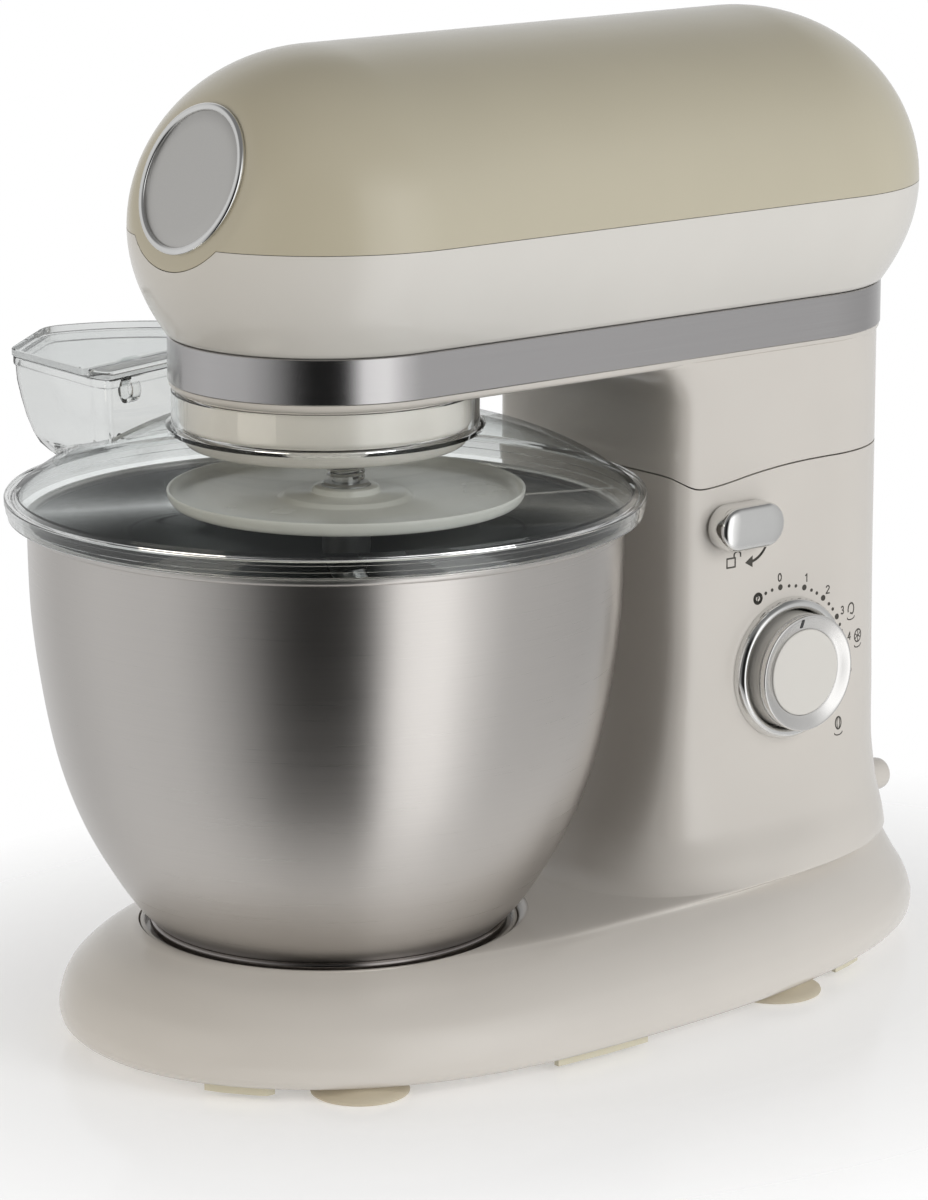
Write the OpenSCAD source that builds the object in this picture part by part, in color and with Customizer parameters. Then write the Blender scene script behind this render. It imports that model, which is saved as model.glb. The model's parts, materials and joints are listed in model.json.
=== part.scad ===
// Tilt-head stand mixer with bowl, splash guard and dough hook.
// Millimetres, +Z up, nose towards -Y, dial side +X, bowl axis at x = 0, y = 0, worktop at z = 0.

/* [Head] */
// Half-width of the head at the shell split
head_r = 73.2; // [66:0.1:80]
// Distance from the nose centre to the rear centre
head_len = 204; // [190:1:220]
// Height of the line between the upper and lower shells
split_z = 309.4; // [300:0.1:320]
// Highest point of the head
top_z = 376.8; // [365:0.1:390]
// Half-width of the steel trim band
band_r = 58.9; // [54:0.1:64]
// Lower edge of the steel trim band
band_z = 252.4; // [248:0.1:256]
// Height of the steel trim band
band_h = 17.1; // [12:0.1:22]
// Wall thickness of the plastic shells
wall = 2.6; // [2:0.1:3.5]

/* [Badge] */
// Outer radius of the nose ring
badge_r = 28.75; // [24:0.25:32]
// Backward tilt of the nose ring
badge_tilt = 21.7; // [15:0.1:28]

/* [Column and base] */
// Half-width of the column
col_w = 58.6; // [54:0.1:64]
// Front face of the column
col_front = 127; // [125:0.5:132]
// Greatest half-width of the base
base_w = 108; // [102:0.5:112]
// Frontmost point of the base
base_front = -105.5; // [-110:0.5:-100]
// Rearmost point of the base
base_rear = 283; // [276:0.5:288]
// Radius of each foot
foot_r = 18.5; // [15:0.5:20]

/* [Tilt hinge] */
// Hinge pin distance behind the bowl axis
pivot_y = 246; // [244:0.5:248]
// Hinge pin height
pivot_z = 190; // [188:0.5:191]
// Hinge pin radius
pin_r = 4; // [3:0.5:5]

/* [Bowl] */
// Outer radius of the bowl at the rim
bowl_r = 112; // [105:0.5:115]
// Height of the bowl rim
bowl_top = 201.2; // [199:0.1:201.3]
// Sheet thickness of the bowl
bowl_t = 0.9; // [0.7:0.1:1.2]
// Outer radius of the bowl's foot ring
bowl_foot_r = 68.3; // [64:0.1:70]

/* [Splash guard] */
// Outer radius of the guard's rim
guard_r = 120.5; // [118:0.5:121]
// Thickness of the clear plastic
guard_t = 2; // [1.6:0.1:2.4]
// Height of the filling chute's rim
chute_z = 251.6; // [248:0.1:251.8]
// Direction the filling chute points in
chute_a = 195; // [185:1:215]

/* [Drive] */
// Gear module
gear_m = 1.5; // [1.5:0.1:1.5]
// Planet axis distance from the bowl axis
orbit_r = 22.5; // [22.5:0.1:22.5]
// Planet axis direction at rest
orbit_a = -18; // [-180:1:180]
// Motor axis distance behind the bowl axis
motor_y = 150; // [148:1:152]
// Countershaft distance behind the bowl axis
counter_y = 54; // [54:1:54]

/* [Dough hook] */
// Radius of the dough guard disc
disc_r = 66.5; // [60:0.5:67]
// Height of the dough guard's underside
disc_z = 209.5; // [208:0.1:210]
// Greatest reach of the hook from its axis
hook_r = 42; // [36:0.5:44]

/* [Controls] */
// Dial centre behind the bowl axis
dial_y = 182.5; // [180:0.5:185]
// Dial centre height
dial_z = 123.5; // [121:0.5:126]
// Radius of the speed knob
knob_r = 22.5; // [20:0.5:23]
// Release lever centre behind the bowl axis
lever_y = 158.7; // [156:0.1:161]
// Release lever centre height
lever_z = 185; // [183:0.1:187]

/* [Hidden] */
$fn = 72;
band_top = band_z + band_h;
dome_h = top_z - split_z;
badge_y = -60;
badge_z = 332;
lobe_r = 34.5;
px = orbit_r * cos(orbit_a);
py = orbit_r * sin(orbit_a);
sides = 48;
joint_gap = 0.6;
seam_r = 16.2;
run = 0.05;

// ---------- shared shapes ----------

// A pipe, or a disc with a hole in it.
module ring(ro, ri, z0, z1) {
  translate([0, 0, z0])
    difference() {
      cylinder(r = ro, h = z1 - z0);
      translate([0, 0, -1]) cylinder(r = ri, h = z1 - z0 + 2);
    }
}

// A stadium-plan solid whose side profile is a list of [radius, z] points starting and ending at radius 0.
module stadium(pts, len) {
  rotate([0, 0, 180]) rotate_extrude(angle = 180) polygon(pts);
  translate([0, len, 0]) rotate_extrude(angle = 180) polygon(pts);
  translate([0, len, 0]) rotate([90, 0, 0])
    linear_extrude(height = len)
      polygon(concat(pts, [for (i = [len(pts) - 1 : -1 : 0]) [-pts[i][0], pts[i][1]]]));
}

// Upper shell profile: a quarter ellipse, drawn inwards by t.
function dome_pts(t, z0, n = 18) = concat(
  [[0, z0], [head_r - t, z0]],
  [for (i = [1 : n]) [(head_r - t) * cos(90 * i / n), split_z + (dome_h - t) * sin(90 * i / n)]]);

// Lower shell profile: bulging from the trim band up to the split, drawn inwards by t.
function belly_pts(t, z0, z1, n = 10) = concat(
  [[0, z0]],
  [for (i = [0 : n]) let (z = z0 + (z1 - z0) * i / n, u = (split_z - z) / (split_z - band_top))
    [head_r - (head_r - band_r) * u * u - t, z]],
  [[0, z1]]);

// One horizontal outline: a superellipse whose front and rear halves have their own lengths and powers.
function outline(w, yf, ym, yr, nf, nr, z) = [for (i = [0 : sides - 1])
  let (a = 360 * (i + 0.5) / sides, s = sin(a), c = cos(a), n = c > 0 ? nf : nr,
    x = w * sign(s) * pow(abs(s), 2 / n), d = pow(abs(c), 2 / n))
    [x, c > 0 ? ym - (ym - yf) * d : ym + (yr - ym) * d, z]];

// A solid skinned over a list of outlines.
module skin(rows) {
  m = len(rows);
  pts = [for (r = rows) for (p = r) p];
  walls = [for (j = [0 : m - 2]) for (i = [0 : sides - 1]) let (k = (i + 1) % sides)
    [j * sides + i, (j + 1) * sides + i, (j + 1) * sides + k, j * sides + k]];
  low = [[for (i = [0 : sides - 1]) i]];
  high = [[for (i = [sides - 1 : -1 : 0]) (m - 1) * sides + i]];
  polyhedron(points = pts, faces = concat(walls, low, high), convexity = 6);
}

// A round wire of radius r winding about the Z axis; turn[j] is the direction of path point j.
module wire(path, turn, r, n = 8) {
  m = len(path);
  pts = [for (j = [0 : m - 1]) let (
      d = path[min(j + 1, m - 1)] - path[max(j - 1, 0)], t = d / norm(d),
      v1 = cross(t, [cos(turn[j]), sin(turn[j]), 0]), v = v1 / norm(v1), u = cross(v, t))
      for (i = [0 : n - 1]) path[j] + r * (cos(360 * i / n) * u + sin(360 * i / n) * v)];
  walls = [for (j = [0 : m - 2]) for (i = [0 : n - 1]) let (k = (i + 1) % n)
    [j * n + i, (j + 1) * n + i, (j + 1) * n + k, j * n + k]];
  low = [[for (i = [0 : n - 1]) i]];
  high = [[for (i = [n - 1 : -1 : 0]) (m - 1) * n + i]];
  polyhedron(points = pts, faces = concat(walls, low, high), convexity = 8);
}

// Trapezoid teeth round a pitch circle; root and tip are measured from the pitch radius.
function teeth(n, root, tip, half, off) = [for (k = [0 : n - 1]) for (q = [0 : 3])
  let (pr = n * gear_m / 2, r = pr + (q == 0 || q == 3 ? root : tip),
    h = (q == 0 || q == 3 ? half + 0.5 : half - 0.5) / pr * 57.2958,
    a = 360 * k / n + off + (q < 2 ? -h : h)) [r * cos(a), r * sin(a)]];

// Things drawn in the badge's own frame: +Z is its outward normal.
module badge_frame() {
  translate([0, badge_y, badge_z]) rotate([90 - badge_tilt, 0, 0]) children();
}

// Column and base outline at height z.
function col_key(z, k) = lookup(z, [for (r = [
    // z, half-width, front, middle, rear, front power, rear power
    [6, 104.5, -101.5, 34, 279.5, 2.08, 2.2],
    [9, 107, -104.3, 34, 282.2, 2.08, 2.2],
    [14, base_w, base_front, 35, base_rear, 2.08, 2.2],
    [20, 107.3, -104.5, 36, 281.5, 2.08, 2.2],
    [26, 104.5, -101.5, 38, 278.5, 2.1, 2.2],
    [32, 99.5, -96, 42, 274.5, 2.12, 2.2],
    [38, 92, -88, 48, 272, 2.15, 2.2],
    [42, 85, -78.5, 60, 270.5, 2.2, 2.2],
    [43.6, 81.5, -73.5, 75, 270, 2.3, 2.2],
    [46, 79, 88, 150, 269.2, 3, 2.1],
    [54, 74, 103, 170, 267.5, 3.6, 2.05],
    [66, 66.5, 113, 185, 265.5, 4.5, 2],
    [85, 61.4, 120.5, 195, 263, 6, 2],
    [110, 59.2, 125, 203, 261.6, 8, 2],
    [140, 58.8, col_front, 203, 261.1, 9, 2],
    [170, col_w, col_front, 203, 261, 9, 2],
    [215, col_w, col_front, 203, 261, 9, 2]]) [r[0], r[k]]]);

function col_row(z, t, lift) = let (q = z + lift)
  outline(col_key(q, 1) - t, col_key(q, 2) + t, col_key(q, 3), col_key(q, 4) - t,
    col_key(q, 5), col_key(q, 6), z);

// Neck outline at height z: it flares forward into the arm's underside.
function neck_front(z) = lookup(z, [[190, 127], [232, 127], [238, 126], [243, 123.5], [246.5, 119.5],
  [248.6, 115], [250, 110]]);

function neck_row(z, t) = outline(col_w - 0.2 - t, neck_front(z) + t, 203, 261 - t, 9, 2, z);

// Side view of the parting line between the column and the neck; dz lowers it, r is its radius at the hinge.
function seam_pts(dz, r) = concat(
  [[126 - 30, 206 - dz], [127, 206 - dz], [130, 203.4 - dz], [134, 201.2 - dz], [139, 200.8 - dz],
    [150, 201.9 - dz], [165, 204 - dz], [182, 205.7 - dz], [200, 206.5 - dz], [225, 206.6 - dz]],
  [for (i = [0 : 7]) [pivot_y + r * sin(10 * i), pivot_z + r * cos(10 * i)]],
  [[pivot_y + 40, pivot_z + r * cos(70)]]);

// Everything under the parting line, or over it.
module seam_side(dz, r, edge) {
  pts = seam_pts(dz, r);
  translate([-100, 0, 0])
    rotate([90, 0, 90])
      linear_extrude(height = 200)
        polygon(concat(pts, [[pivot_y + 40, edge], [96, edge]]));
}

module at_dial() {
  translate([0, dial_y, dial_z]) rotate([0, 90, 0]) children();
}

module at_lever() {
  translate([0, lever_y, lever_z]) rotate([0, 90, 0]) children();
}

module foot_spots() {
  for (p = [[-71.6, -40.7], [71.6, -40.7], [-78, 160], [78, 160]])
    translate([p[0], p[1], 0]) children();
}

module screw_spots() {
  for (p = [[-45, -60], [45, -60], [-84, 80], [84, 80], [-45, 235], [45, 235]])
    translate([p[0], p[1], 0]) children();
}

module head_screw_spots() {
  for (p = [[-46, 66], [46, 66], [-46, 102], [46, 102]])
    translate([p[0], p[1], 0]) children();
}

// ---------- base and column ----------

module base_housing() {
  color("#d8d2c6")
    difference() {
      skin([for (z = [6, 9, 14, 20, 26, 32, 38, 42, 43.6, 46, 54, 66, 85, 110, 140, 170, 210]) col_row(z, 0, 0)]);
      skin([for (z = [5, 9, 14, 20, 26, 32, 38, 40.6, 43, 51, 63, 83, 110, 140, 170, 212]) col_row(z, wall, z < 6 ? 1 : 3)]);
      seam_side(joint_gap, seam_r - joint_gap, 240);
      cylinder(r = 72.5, h = 60);
      at_dial() translate([0, 0, 50]) cylinder(r = 24.3, h = 12);
      at_dial() translate([0, 0, 59.1]) cylinder(r = 28.6, h = 12);
      at_lever() translate([0, 0, 50]) cylinder(r = 6, h = 12);
      translate([0, 262, 50]) rotate([-90, 0, 0]) cylinder(r = 8, h = 20);
    }
}

module bottom_cover() {
  color("#c9c2b0") {
    difference() {
      skin([for (z = [6.4, 8.8]) outline(101.4, -98.4, 34, 276.4, 2.08, 2.2, z)]);
      foot_spots() translate([0, 0, 5]) cylinder(r = 9.1, h = 5);
      screw_spots() translate([0, 0, 5]) cylinder(r = 1.7, h = 5);
      for (y = [40 : 12 : 124])
        translate([-24, y, 5]) cube([48, 5, 5]);
    }
    // skirt tabs under the rim
    for (s = [-1, 1]) {
      intersection() {
        difference() {
          skin([for (z = [2.2, 6.4]) outline(101.4, -98.4, 34, 276.4, 2.08, 2.2, z)]);
          skin([for (z = [1, 7]) outline(99, -96, 34, 274, 2.08, 2.2, z)]);
        }
        union() {
          translate([s * 50 - 10, -110, 0]) cube([20, 40, 8]);
          translate([s * 95 - 20, 30, 0]) cube([40, 45, 8]);
          translate([s * 75 - 20, 190, 0]) cube([40, 18, 8]);
        }
      }
    }
  }
}

module suction_feet() {
  color("#8f887a")
    foot_spots()
      rotate_extrude()
        polygon([[0, 3], [9, 3], [13, 0], [foot_r, 0], [foot_r, 1.6], [14, 4.2], [9, 6.2], [9, 9],
          [11.6, 9], [11.6, 11], [0, 11]]);
}

module bowl_seat() {
  color("#cfc9bc") {
    difference() {
      union() {
        ring(72.3, 0, 36.5, 40.2);
        ring(72.3, 70.2, 40.2, 43.2);
      }
      translate([0, 0, 30]) cylinder(r = 8, h = 20);
    }
    // bayonet lugs that the bowl's foot turns under
    for (a = [30, 150, 270])
      rotate([0, 0, a])
        rotate_extrude(angle = 16)
          polygon([[58.2, 40.2], [62.6, 40.2], [62.6, 43.4], [58.2, 43.4]]);
  }
}

module cord_gland() {
  color("#d2ccc0")
    translate([0, 0, 50])
      rotate([-90, 0, 0])
        rotate_extrude()
          polygon([[3.6, 256], [11, 256], [11, 261], [7.8, 261], [7.8, 270], [7.4, 284], [6.4, 290],
            [5.4, 291.5], [3.6, 291.5]]);
}

module dial_bezel() {
  color("#c8cacc")
    at_dial()
      rotate_extrude()
        polygon([[23.2, 56.4], [24.2, 56.4], [24.2, 59.2], [28.5, 59.2], [28.5, 61.2], [27.2, 62.4],
          [24.6, 61.6], [23.2, 60.4]]);
}

module speed_switch() {
  color("#2b2b2d")
    at_dial() {
      ring(7, 3 + run, 44, 52);
      difference() {
        translate([-14, -14, 30]) cube([28, 28, 14]);
        translate([0, 0, 29]) cylinder(r = 3.6, h = 16);
      }
      for (y = [-9, 0, 9])
        translate([13.5, y - 1.2, 33]) cube([9, 2.4, 0.8]);
    }
}

module control_board() {
  color("#2f6b3a") {
    translate([20, 150, 88]) cube([1.6, 54, 70]);
    translate([21.6, 156, 90]) cube([14, 16, 10]);
    translate([21.6, 190, 90]) cube([10, 12, 10]);
    translate([21.6, 156, 142]) cube([8, 12, 12]);
  }
}

module column_top_cover() {
  color("#5c5a55") {
    difference() {
      union() {
        skin([for (z = [195.4, 198]) outline(col_w - wall - 0.5, col_front + wall + 0.5, 203, 232, 9, 3, z)]);
        translate([-28, 228, 195.4]) cube([56, 8, 2.6]);
        // half-round cover over the hinge pin
        intersection() {
          translate([-28, pivot_y, pivot_z]) rotate([0, 90, 0]) ring(seam_r - 1, seam_r - 3, 0, 56);
          translate([-34, pivot_y - 12, pivot_z + 3]) cube([68, 16, 20]);
        }
      }
      for (s = [-1, 1])
        translate([s * 15 - 4, 222, 185]) cube([8, 40, 30]);
      translate([-15, 134, 190]) cube([30, 18, 12]);
    }
  }
}

module hinge_brackets() {
  color("#9a9c9f")
    difference() {
      union() {
        for (s = [-1, 1])
          translate([s * 20.9 - 1.7, 0, 0]) {
            translate([0, pivot_y, pivot_z]) rotate([0, 90, 0]) cylinder(r = 7, h = 3.4);
            translate([0, pivot_y - 7, 148]) cube([3.4, 12, 42]);
          }
        translate([-28, 206, 146]) cube([56, 42, 4]);
        translate([-50, 206, 146]) cube([100, 20, 4]);
      }
      translate([-40, pivot_y, pivot_z]) rotate([0, 90, 0]) cylinder(r = pin_r, h = 80);
    }
}

module hinge_pin() {
  color("#b5b7ba")
    translate([0, pivot_y, pivot_z])
      rotate([0, 90, 0])
        rotate_extrude()
          polygon([[0, -25], [5.2, -25], [5.2, -22.8], [pin_r, -22.8], [pin_r, 22.8], [5.2, 22.8],
            [5.2, 25], [0, 25]]);
}

module latch_guide() {
  color("#3a3a3c") {
    // bearing for the lever's shaft
    translate([46, 0, 0]) at_lever() ring(8, 4 + run, 0, 9.8);
    translate([46, lever_y - 8, lever_z - 24]) cube([8, 16, 16.4]);
    // channel that the bolt slides in
    translate([-16, 150, 174]) cube([62, 16, 2.6]);
    translate([-16, 150, 176.6]) cube([3, 16, 12]);
  }
}

module base_screws() {
  color("#6f7173")
    screw_spots()
      translate([0, 0, 5])
        difference() {
          union() {
            cylinder(r = 3.6, h = 1.4);
            translate([0, 0, 1.4]) cylinder(r = 1.6, h = 8);
          }
          translate([-2.5, -0.5, -1]) cube([5, 1, 1.6]);
          translate([-0.5, -2.5, -1]) cube([1, 5, 1.6]);
        }
}

// ---------- head shells ----------

module arm_housing() {
  color("#d8d2c6") {
    difference() {
      union() {
        stadium([[0, 249.2], [band_r - 2.6, 249.2], [band_r - 0.8, 250.2], [band_r - 0.4, 252.2], [0, 252.2]], head_len);
        difference() {
          skin([for (z = [188, 232, 238, 243, 246.5, 248.6, 250]) neck_row(z, 0)]);
          seam_side(0, seam_r, 150);
        }
      }
      skin([for (z = [186, 232, 238, 243, 246.5, 248.6, 254]) neck_row(z, wall)]);
      cylinder(r = 50.2, h = 300);
      head_screw_spots() translate([0, 0, 240]) cylinder(r = 1.7, h = 20);
    }
  }
}

module head_lower_shell() {
  color("#dedad0")
    difference() {
      stadium(belly_pts(0, band_top, split_z - 0.1), head_len);
      stadium(belly_pts(wall, band_top + 2.4, split_z + 0.4), head_len);
      translate([0, 0, band_top - 1]) stadium([[0, 0], [band_r - 3.6, 0], [band_r - 3.6, 4], [0, 4]], head_len);
      badge_frame() translate([0, 0, -40]) cylinder(r = lobe_r + 0.2, h = 80);
    }
}

module head_top_cover() {
  color("#a8a48a")
    difference() {
      union() {
        difference() {
          stadium(dome_pts(0, split_z + 0.1), head_len);
          stadium(dome_pts(wall, split_z - 1), head_len);
        }
        // flat round boss behind the nose ring
        intersection() {
          badge_frame() translate([0, 0, -16]) cylinder(r = lobe_r, h = 40);
          difference() {
            union() {
              stadium(dome_pts(0, split_z), head_len);
              stadium(belly_pts(0, band_top + 10, split_z), head_len);
            }
            badge_frame() translate([0, 0, -60]) cylinder(r = 200, h = 57);
          }
        }
      }
      badge_frame() cylinder(r = 60, h = 60);
      badge_frame() translate([0, 0, -30]) cylinder(r = 9, h = 60);
    }
}

module trim_band() {
  color("#b9bcbe")
    difference() {
      stadium([[0, band_z], [band_r, band_z], [band_r, band_top - 0.1], [0, band_top - 0.1]], head_len);
      stadium([[0, band_z - 1], [band_r - 1.2, band_z - 1], [band_r - 1.2, band_top + 1], [0, band_top + 1]], head_len);
    }
}

module badge_ring() {
  color("#c8cacc")
    badge_frame()
      rotate_extrude()
        polygon([[25.8, 0], [badge_r, 0], [badge_r, 1.2], [28, 1.9], [27.2, 1.5], [26.6, 1.9], [25.8, 1.3]]);
}

module badge_disc() {
  color("#bfc1c0")
    badge_frame() {
      cylinder(r = 25.7, h = 0.9);
      translate([0, 0, -6]) cylinder(r = 8.9, h = 6);
    }
}

module neck_cover() {
  color("#5c5a55")
    difference() {
      skin([for (z = [212, 214.4]) outline(col_w - wall - 0.5, col_front + wall + 0.3, 203, 258, 9, 2, z)]);
      for (s = [-1, 1])
        translate([s * 15 - 4.2, 220, 205]) cube([8.4, 40, 20]);
      translate([-10, 180, 205]) cube([20, 14, 20]);
    }
}

module hinge_arms() {
  color("#9a9c9f") {
    difference() {
      for (s = [-1, 1])
        translate([s * 15 - 3, 0, 0]) {
          translate([0, pivot_y, pivot_z]) rotate([0, 90, 0]) cylinder(r = 7.5, h = 6);
          rotate([90, 0, 90])
            linear_extrude(height = 6)
              polygon([[pivot_y - 7, 188], [pivot_y + 6.5, 193], [pivot_y, 202], [pivot_y, 222],
                [pivot_y - 22, 222], [pivot_y - 20, 212]]);
        }
      translate([-30, pivot_y, pivot_z]) rotate([0, 90, 0]) cylinder(r = pin_r + run, h = 60);
    }
    translate([-30, pivot_y - 42, 222]) cube([60, 44, 4]);
    for (s = [-1, 1])
      translate([s * 26, pivot_y - 36, 226]) cylinder(r = 5, h = 26);
  }
}

module latch_catch() {
  color("#9a9c9f") {
    difference() {
      translate([-9, 138, 184]) cube([18, 3, 27.8]);
      translate([-5, 130, 188]) cube([10, 20, 6]);
    }
    translate([-12, 134, 208.8]) cube([24, 14, 3]);
  }
}

// ---------- drive held by the head ----------

module drive_chassis() {
  color("#a6a8aa")
    difference() {
      union() {
        // lower plate over the arm floor
        translate([0, 0, 252.4]) stadium([[0, 0], [52, 0], [52, 3.6], [0, 3.6]], 180);
        // gear case walls and its lid, which carries the upper bearings
        translate([0, 0, 256]) difference() {
          union() {
            cylinder(r = 50.5, h = 20);
            translate([-24, 0, 0]) cube([48, 76, 20]);
          }
          translate([0, 0, -1]) cylinder(r = 47.4, h = 18);
          translate([-20, 0, -1]) cube([40, 72, 18]);
        }
        // upper shaft towers
        translate([0, 0, 276]) cylinder(r = 14, h = 26);
        translate([0, counter_y, 276]) cylinder(r = 12, h = 34);
      }
      cylinder(r = 9.05, h = 400);
      translate([0, counter_y, 258]) cylinder(r = 5 + run, h = 100);
      translate([0, motor_y, 250]) cylinder(r = 12, h = 10);
    }
}

module ring_gear() {
  color("#8d8f92")
    rotate([0, 0, orbit_a])
      translate([0, 0, 236.4])
        linear_extrude(height = 9.4)
          difference() {
            circle(r = 39.5);
            polygon(teeth(44, 1.6, -1.3, 0.95, 360 / 88));
          }
}

module hub_housing() {
  color("#d8d2c6")
    rotate_extrude()
      polygon([[39.6, 234.6], [52.5, 234.6], [54.5, 236.6], [54.5, 249.1], [50, 249.1], [50, 252.3], [9.05, 252.3],
        [9.05, 247], [39.6, 247]]);
}

module shaft_bushings() {
  color("#b08d4f") {
    ring(9, 6 + run, 247.4, 258);
    ring(9, 6 + run, 290, 302);
  }
}

module motor_stator() {
  color("#6e7073")
    translate([0, motor_y, 275])
      linear_extrude(height = 30)
        difference() {
          intersection() {
            square([70, 60], center = true);
            circle(r = 42);
          }
          circle(r = 22.4);
          for (s = [-1, 1])
            translate([s * 25.5 - 4.5, -24.4]) square([9, 48.8]);
        }
}

module field_coils() {
  color("#a5562c")
    for (s = [-1, 1])
      translate([s * 25.5, motor_y, 0])
        difference() {
          translate([-4.2, -24, 269.4]) cube([8.4, 48, 41.2]);
          translate([-6, -16.5, 274.8]) cube([12, 33, 30.4]);
          translate([-s * 25.5, 0, 260]) cylinder(r = 22.6, h = 60);
        }
}

module motor_brackets() {
  color("#a6a8aa")
    translate([0, motor_y, 0])
      difference() {
        union() {
          translate([-38, -9, 256.2]) cube([76, 18, 3]);
          ring(11, 4 + run, 252.6, 256.2);
          translate([-38, -9, 317.6]) cube([76, 18, 3]);
          ring(9, 4 + run, 312, 317.6);
          for (s = [-1, 1])
            translate([s * 36.7 - 1.3, -9, 259.2]) cube([2.6, 18, 58.4]);
        }
        translate([0, 0, 250]) cylinder(r = 4 + run, h = 80);
        translate([0, 0, 274]) cylinder(r = 35.6, h = 32);
      }
}

module brush_holders() {
  color("#3c3630")
    for (s = [-1, 1])
      translate([s * 16 - 4.5, motor_y - 4, 307]) {
        cube([9, 8, 8]);
        translate([s > 0 ? -2.2 : 9, 2, 1.5]) cube([2.2, 4, 3]);
      }
}

module drive_belt() {
  color("#222222")
    translate([0, 0, 323])
      linear_extrude(height = 7)
        difference() {
          polygon(belt_pts(1.6));
          polygon(belt_pts(0));
        }
}

// The belt's inner line, grown by t, with straight runs tangent to both pulleys.
function belt_pts(t) = let (big = 40.4 + t, small = 10.4 + t, k = asin((big - small) / (motor_y - counter_y)))
  concat([for (i = [0 : 36]) let (a = 180 - k + (180 + 2 * k) * i / 36) [big * cos(a), counter_y + big * sin(a)]],
    [for (i = [0 : 20]) let (a = k + (180 - 2 * k) * i / 20) [small * cos(a), motor_y + small * sin(a)]]);

module head_screws() {
  color("#6f7173")
    head_screw_spots() {
      translate([0, 0, 247.8]) cylinder(r = 3.4, h = 1.4);
      translate([0, 0, 249.2]) cylinder(r = 1.6, h = 3);
    }
}

// ---------- turning parts ----------

module motor_shaft() {
  color("#b5b7ba")
    translate([0, motor_y, 251]) cylinder(r = 4, h = 80);
}

module armature() {
  color("#7a5236")
    translate([0, motor_y, 0]) {
      translate([0, 0, 276])
        linear_extrude(height = 28)
          difference() {
            circle(r = 21.9);
            circle(r = 4);
            for (a = [0 : 30 : 330])
              rotate([0, 0, a]) translate([17.5, -0.8]) square([6, 1.6]);
          }
      ring(17, 4, 272, 276);
      ring(17, 4, 304, 306);
    }
}

module commutator() {
  color("#b87333")
    translate([0, motor_y, 0]) {
      difference() {
        ring(8.9, 4, 306, 311.6);
        for (a = [0 : 30 : 330])
          rotate([0, 0, a]) translate([7.6, -0.3, 305]) cube([3, 0.6, 8]);
      }
    }
}

module cooling_fan() {
  color("#44464a")
    translate([0, motor_y, 0]) {
      ring(8, 4, 260, 268.4);
      ring(21, 7.9, 260, 261.4);
      for (a = [0 : 36 : 324])
        rotate([0, 0, a]) translate([7.6, -0.6, 261.3]) cube([13, 1.2, 7]);
    }
}

module motor_pulley() {
  color("#55585c")
    translate([0, motor_y, 0]) {
      ring(10, 4, 322.4, 330.8);
      ring(11.8, 4, 321.2, 322.4);
    }
}

module countershaft() {
  color("#b5b7ba")
    translate([0, counter_y, 0]) {
      translate([0, 0, 258.4]) cylinder(r = 5, h = 73);
      translate([0, 0, 260.5]) linear_extrude(height = 8.6) polygon(teeth(12, -1.6, 1.3, 0.9, 15));
    }
}

module belt_pulley() {
  color("#55585c")
    translate([0, counter_y, 0]) {
      difference() {
        union() {
          ring(40, 33, 322.4, 330.8);
          ring(42, 33, 321.2, 322.4);
          ring(34, 5, 325, 328);
          ring(11, 5, 316, 330.8);
        }
        for (a = [0 : 60 : 300])
          rotate([0, 0, a]) translate([22, 0, 320]) cylinder(r = 6.5, h = 14);
      }
    }
}

module main_shaft() {
  color("#b5b7ba")
    translate([0, 0, 229]) cylinder(r = 6, h = 75);
}

module main_gear() {
  color("#c9b98f")
    translate([0, 0, 261])
      linear_extrude(height = 7.6)
        difference() {
          polygon(teeth(60, -1.6, 1.3, 0.9, 0));
          circle(r = 6);
          for (a = [0 : 60 : 300])
            rotate([0, 0, a]) translate([26, 0]) circle(r = 8);
        }
}

module planet_carrier() {
  color("#d2ccc0")
    difference() {
      union() {
        rotate_extrude()
          polygon([[0, 227.4], [50.5, 227.4], [52.8, 228.6], [53.4, 230.4], [53.4, 234.1], [36, 234.1], [36, 231.4], [0, 231.4]]);
        ring(12, 5, 231, 235.4);
        translate([px, py, 231]) cylinder(r = 8.6, h = 4.6);
      }
      translate([0, 0, 229]) cylinder(r = 6, h = 10);
      translate([px, py, 220]) cylinder(r = 5 + run, h = 20);
    }
}

module planet_gear() {
  color("#8d8f92")
    translate([px, py, 236.4])
      rotate([0, 0, orbit_a])
        linear_extrude(height = 8.8)
          difference() {
            polygon(teeth(14, -1.6, 1.3, 0.85, 0));
            circle(r = 5);
          }
}

module output_shaft() {
  color("#b5b7ba")
    translate([px, py, 0]) {
      translate([0, 0, 196.6]) cylinder(r = 5, h = 49.4);
      translate([-8, 0, 201]) rotate([0, 90, 0]) cylinder(r = 1.4, h = 16);
    }
}

module coupling_spring() {
  color("#b5b7ba")
    translate([px, py, 218.5])
      wire([for (i = [0 : 48]) [6.7 * cos(30 * i), 6.7 * sin(30 * i), 7.6 * i / 48]],
        [for (i = [0 : 48]) 30 * i], 0.6, 6);
}

// ---------- dough hook and its guard ----------

module dough_hook() {
  color("#c3c5c6") {
    translate([px, py, 0])
      difference() {
        union() {
          translate([0, 0, 190]) cylinder(r = 9, h = 27.2);
          translate([0, 0, 182]) cylinder(r1 = 5.5, r2 = 9, h = 8);
        }
        translate([0, 0, 192]) cylinder(r = 5 + run, h = 30);
        translate([-12, -1.9, 195]) cube([24, 3.8, 8.2]);
      }
    translate([px, py, 0])
      wire([for (i = [0 : 30]) let (t = i / 30, a = 330 * t,
          r = hook_r * sin(180 * pow(t, 0.85)) * (0.35 + 0.65 * t) + 3 * t)
          [r * cos(a), r * sin(a), 186 - 122 * pow(t, 0.9)]],
        [for (i = [0 : 30]) 11 * i], 5.2, 12);
  }
}

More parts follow.
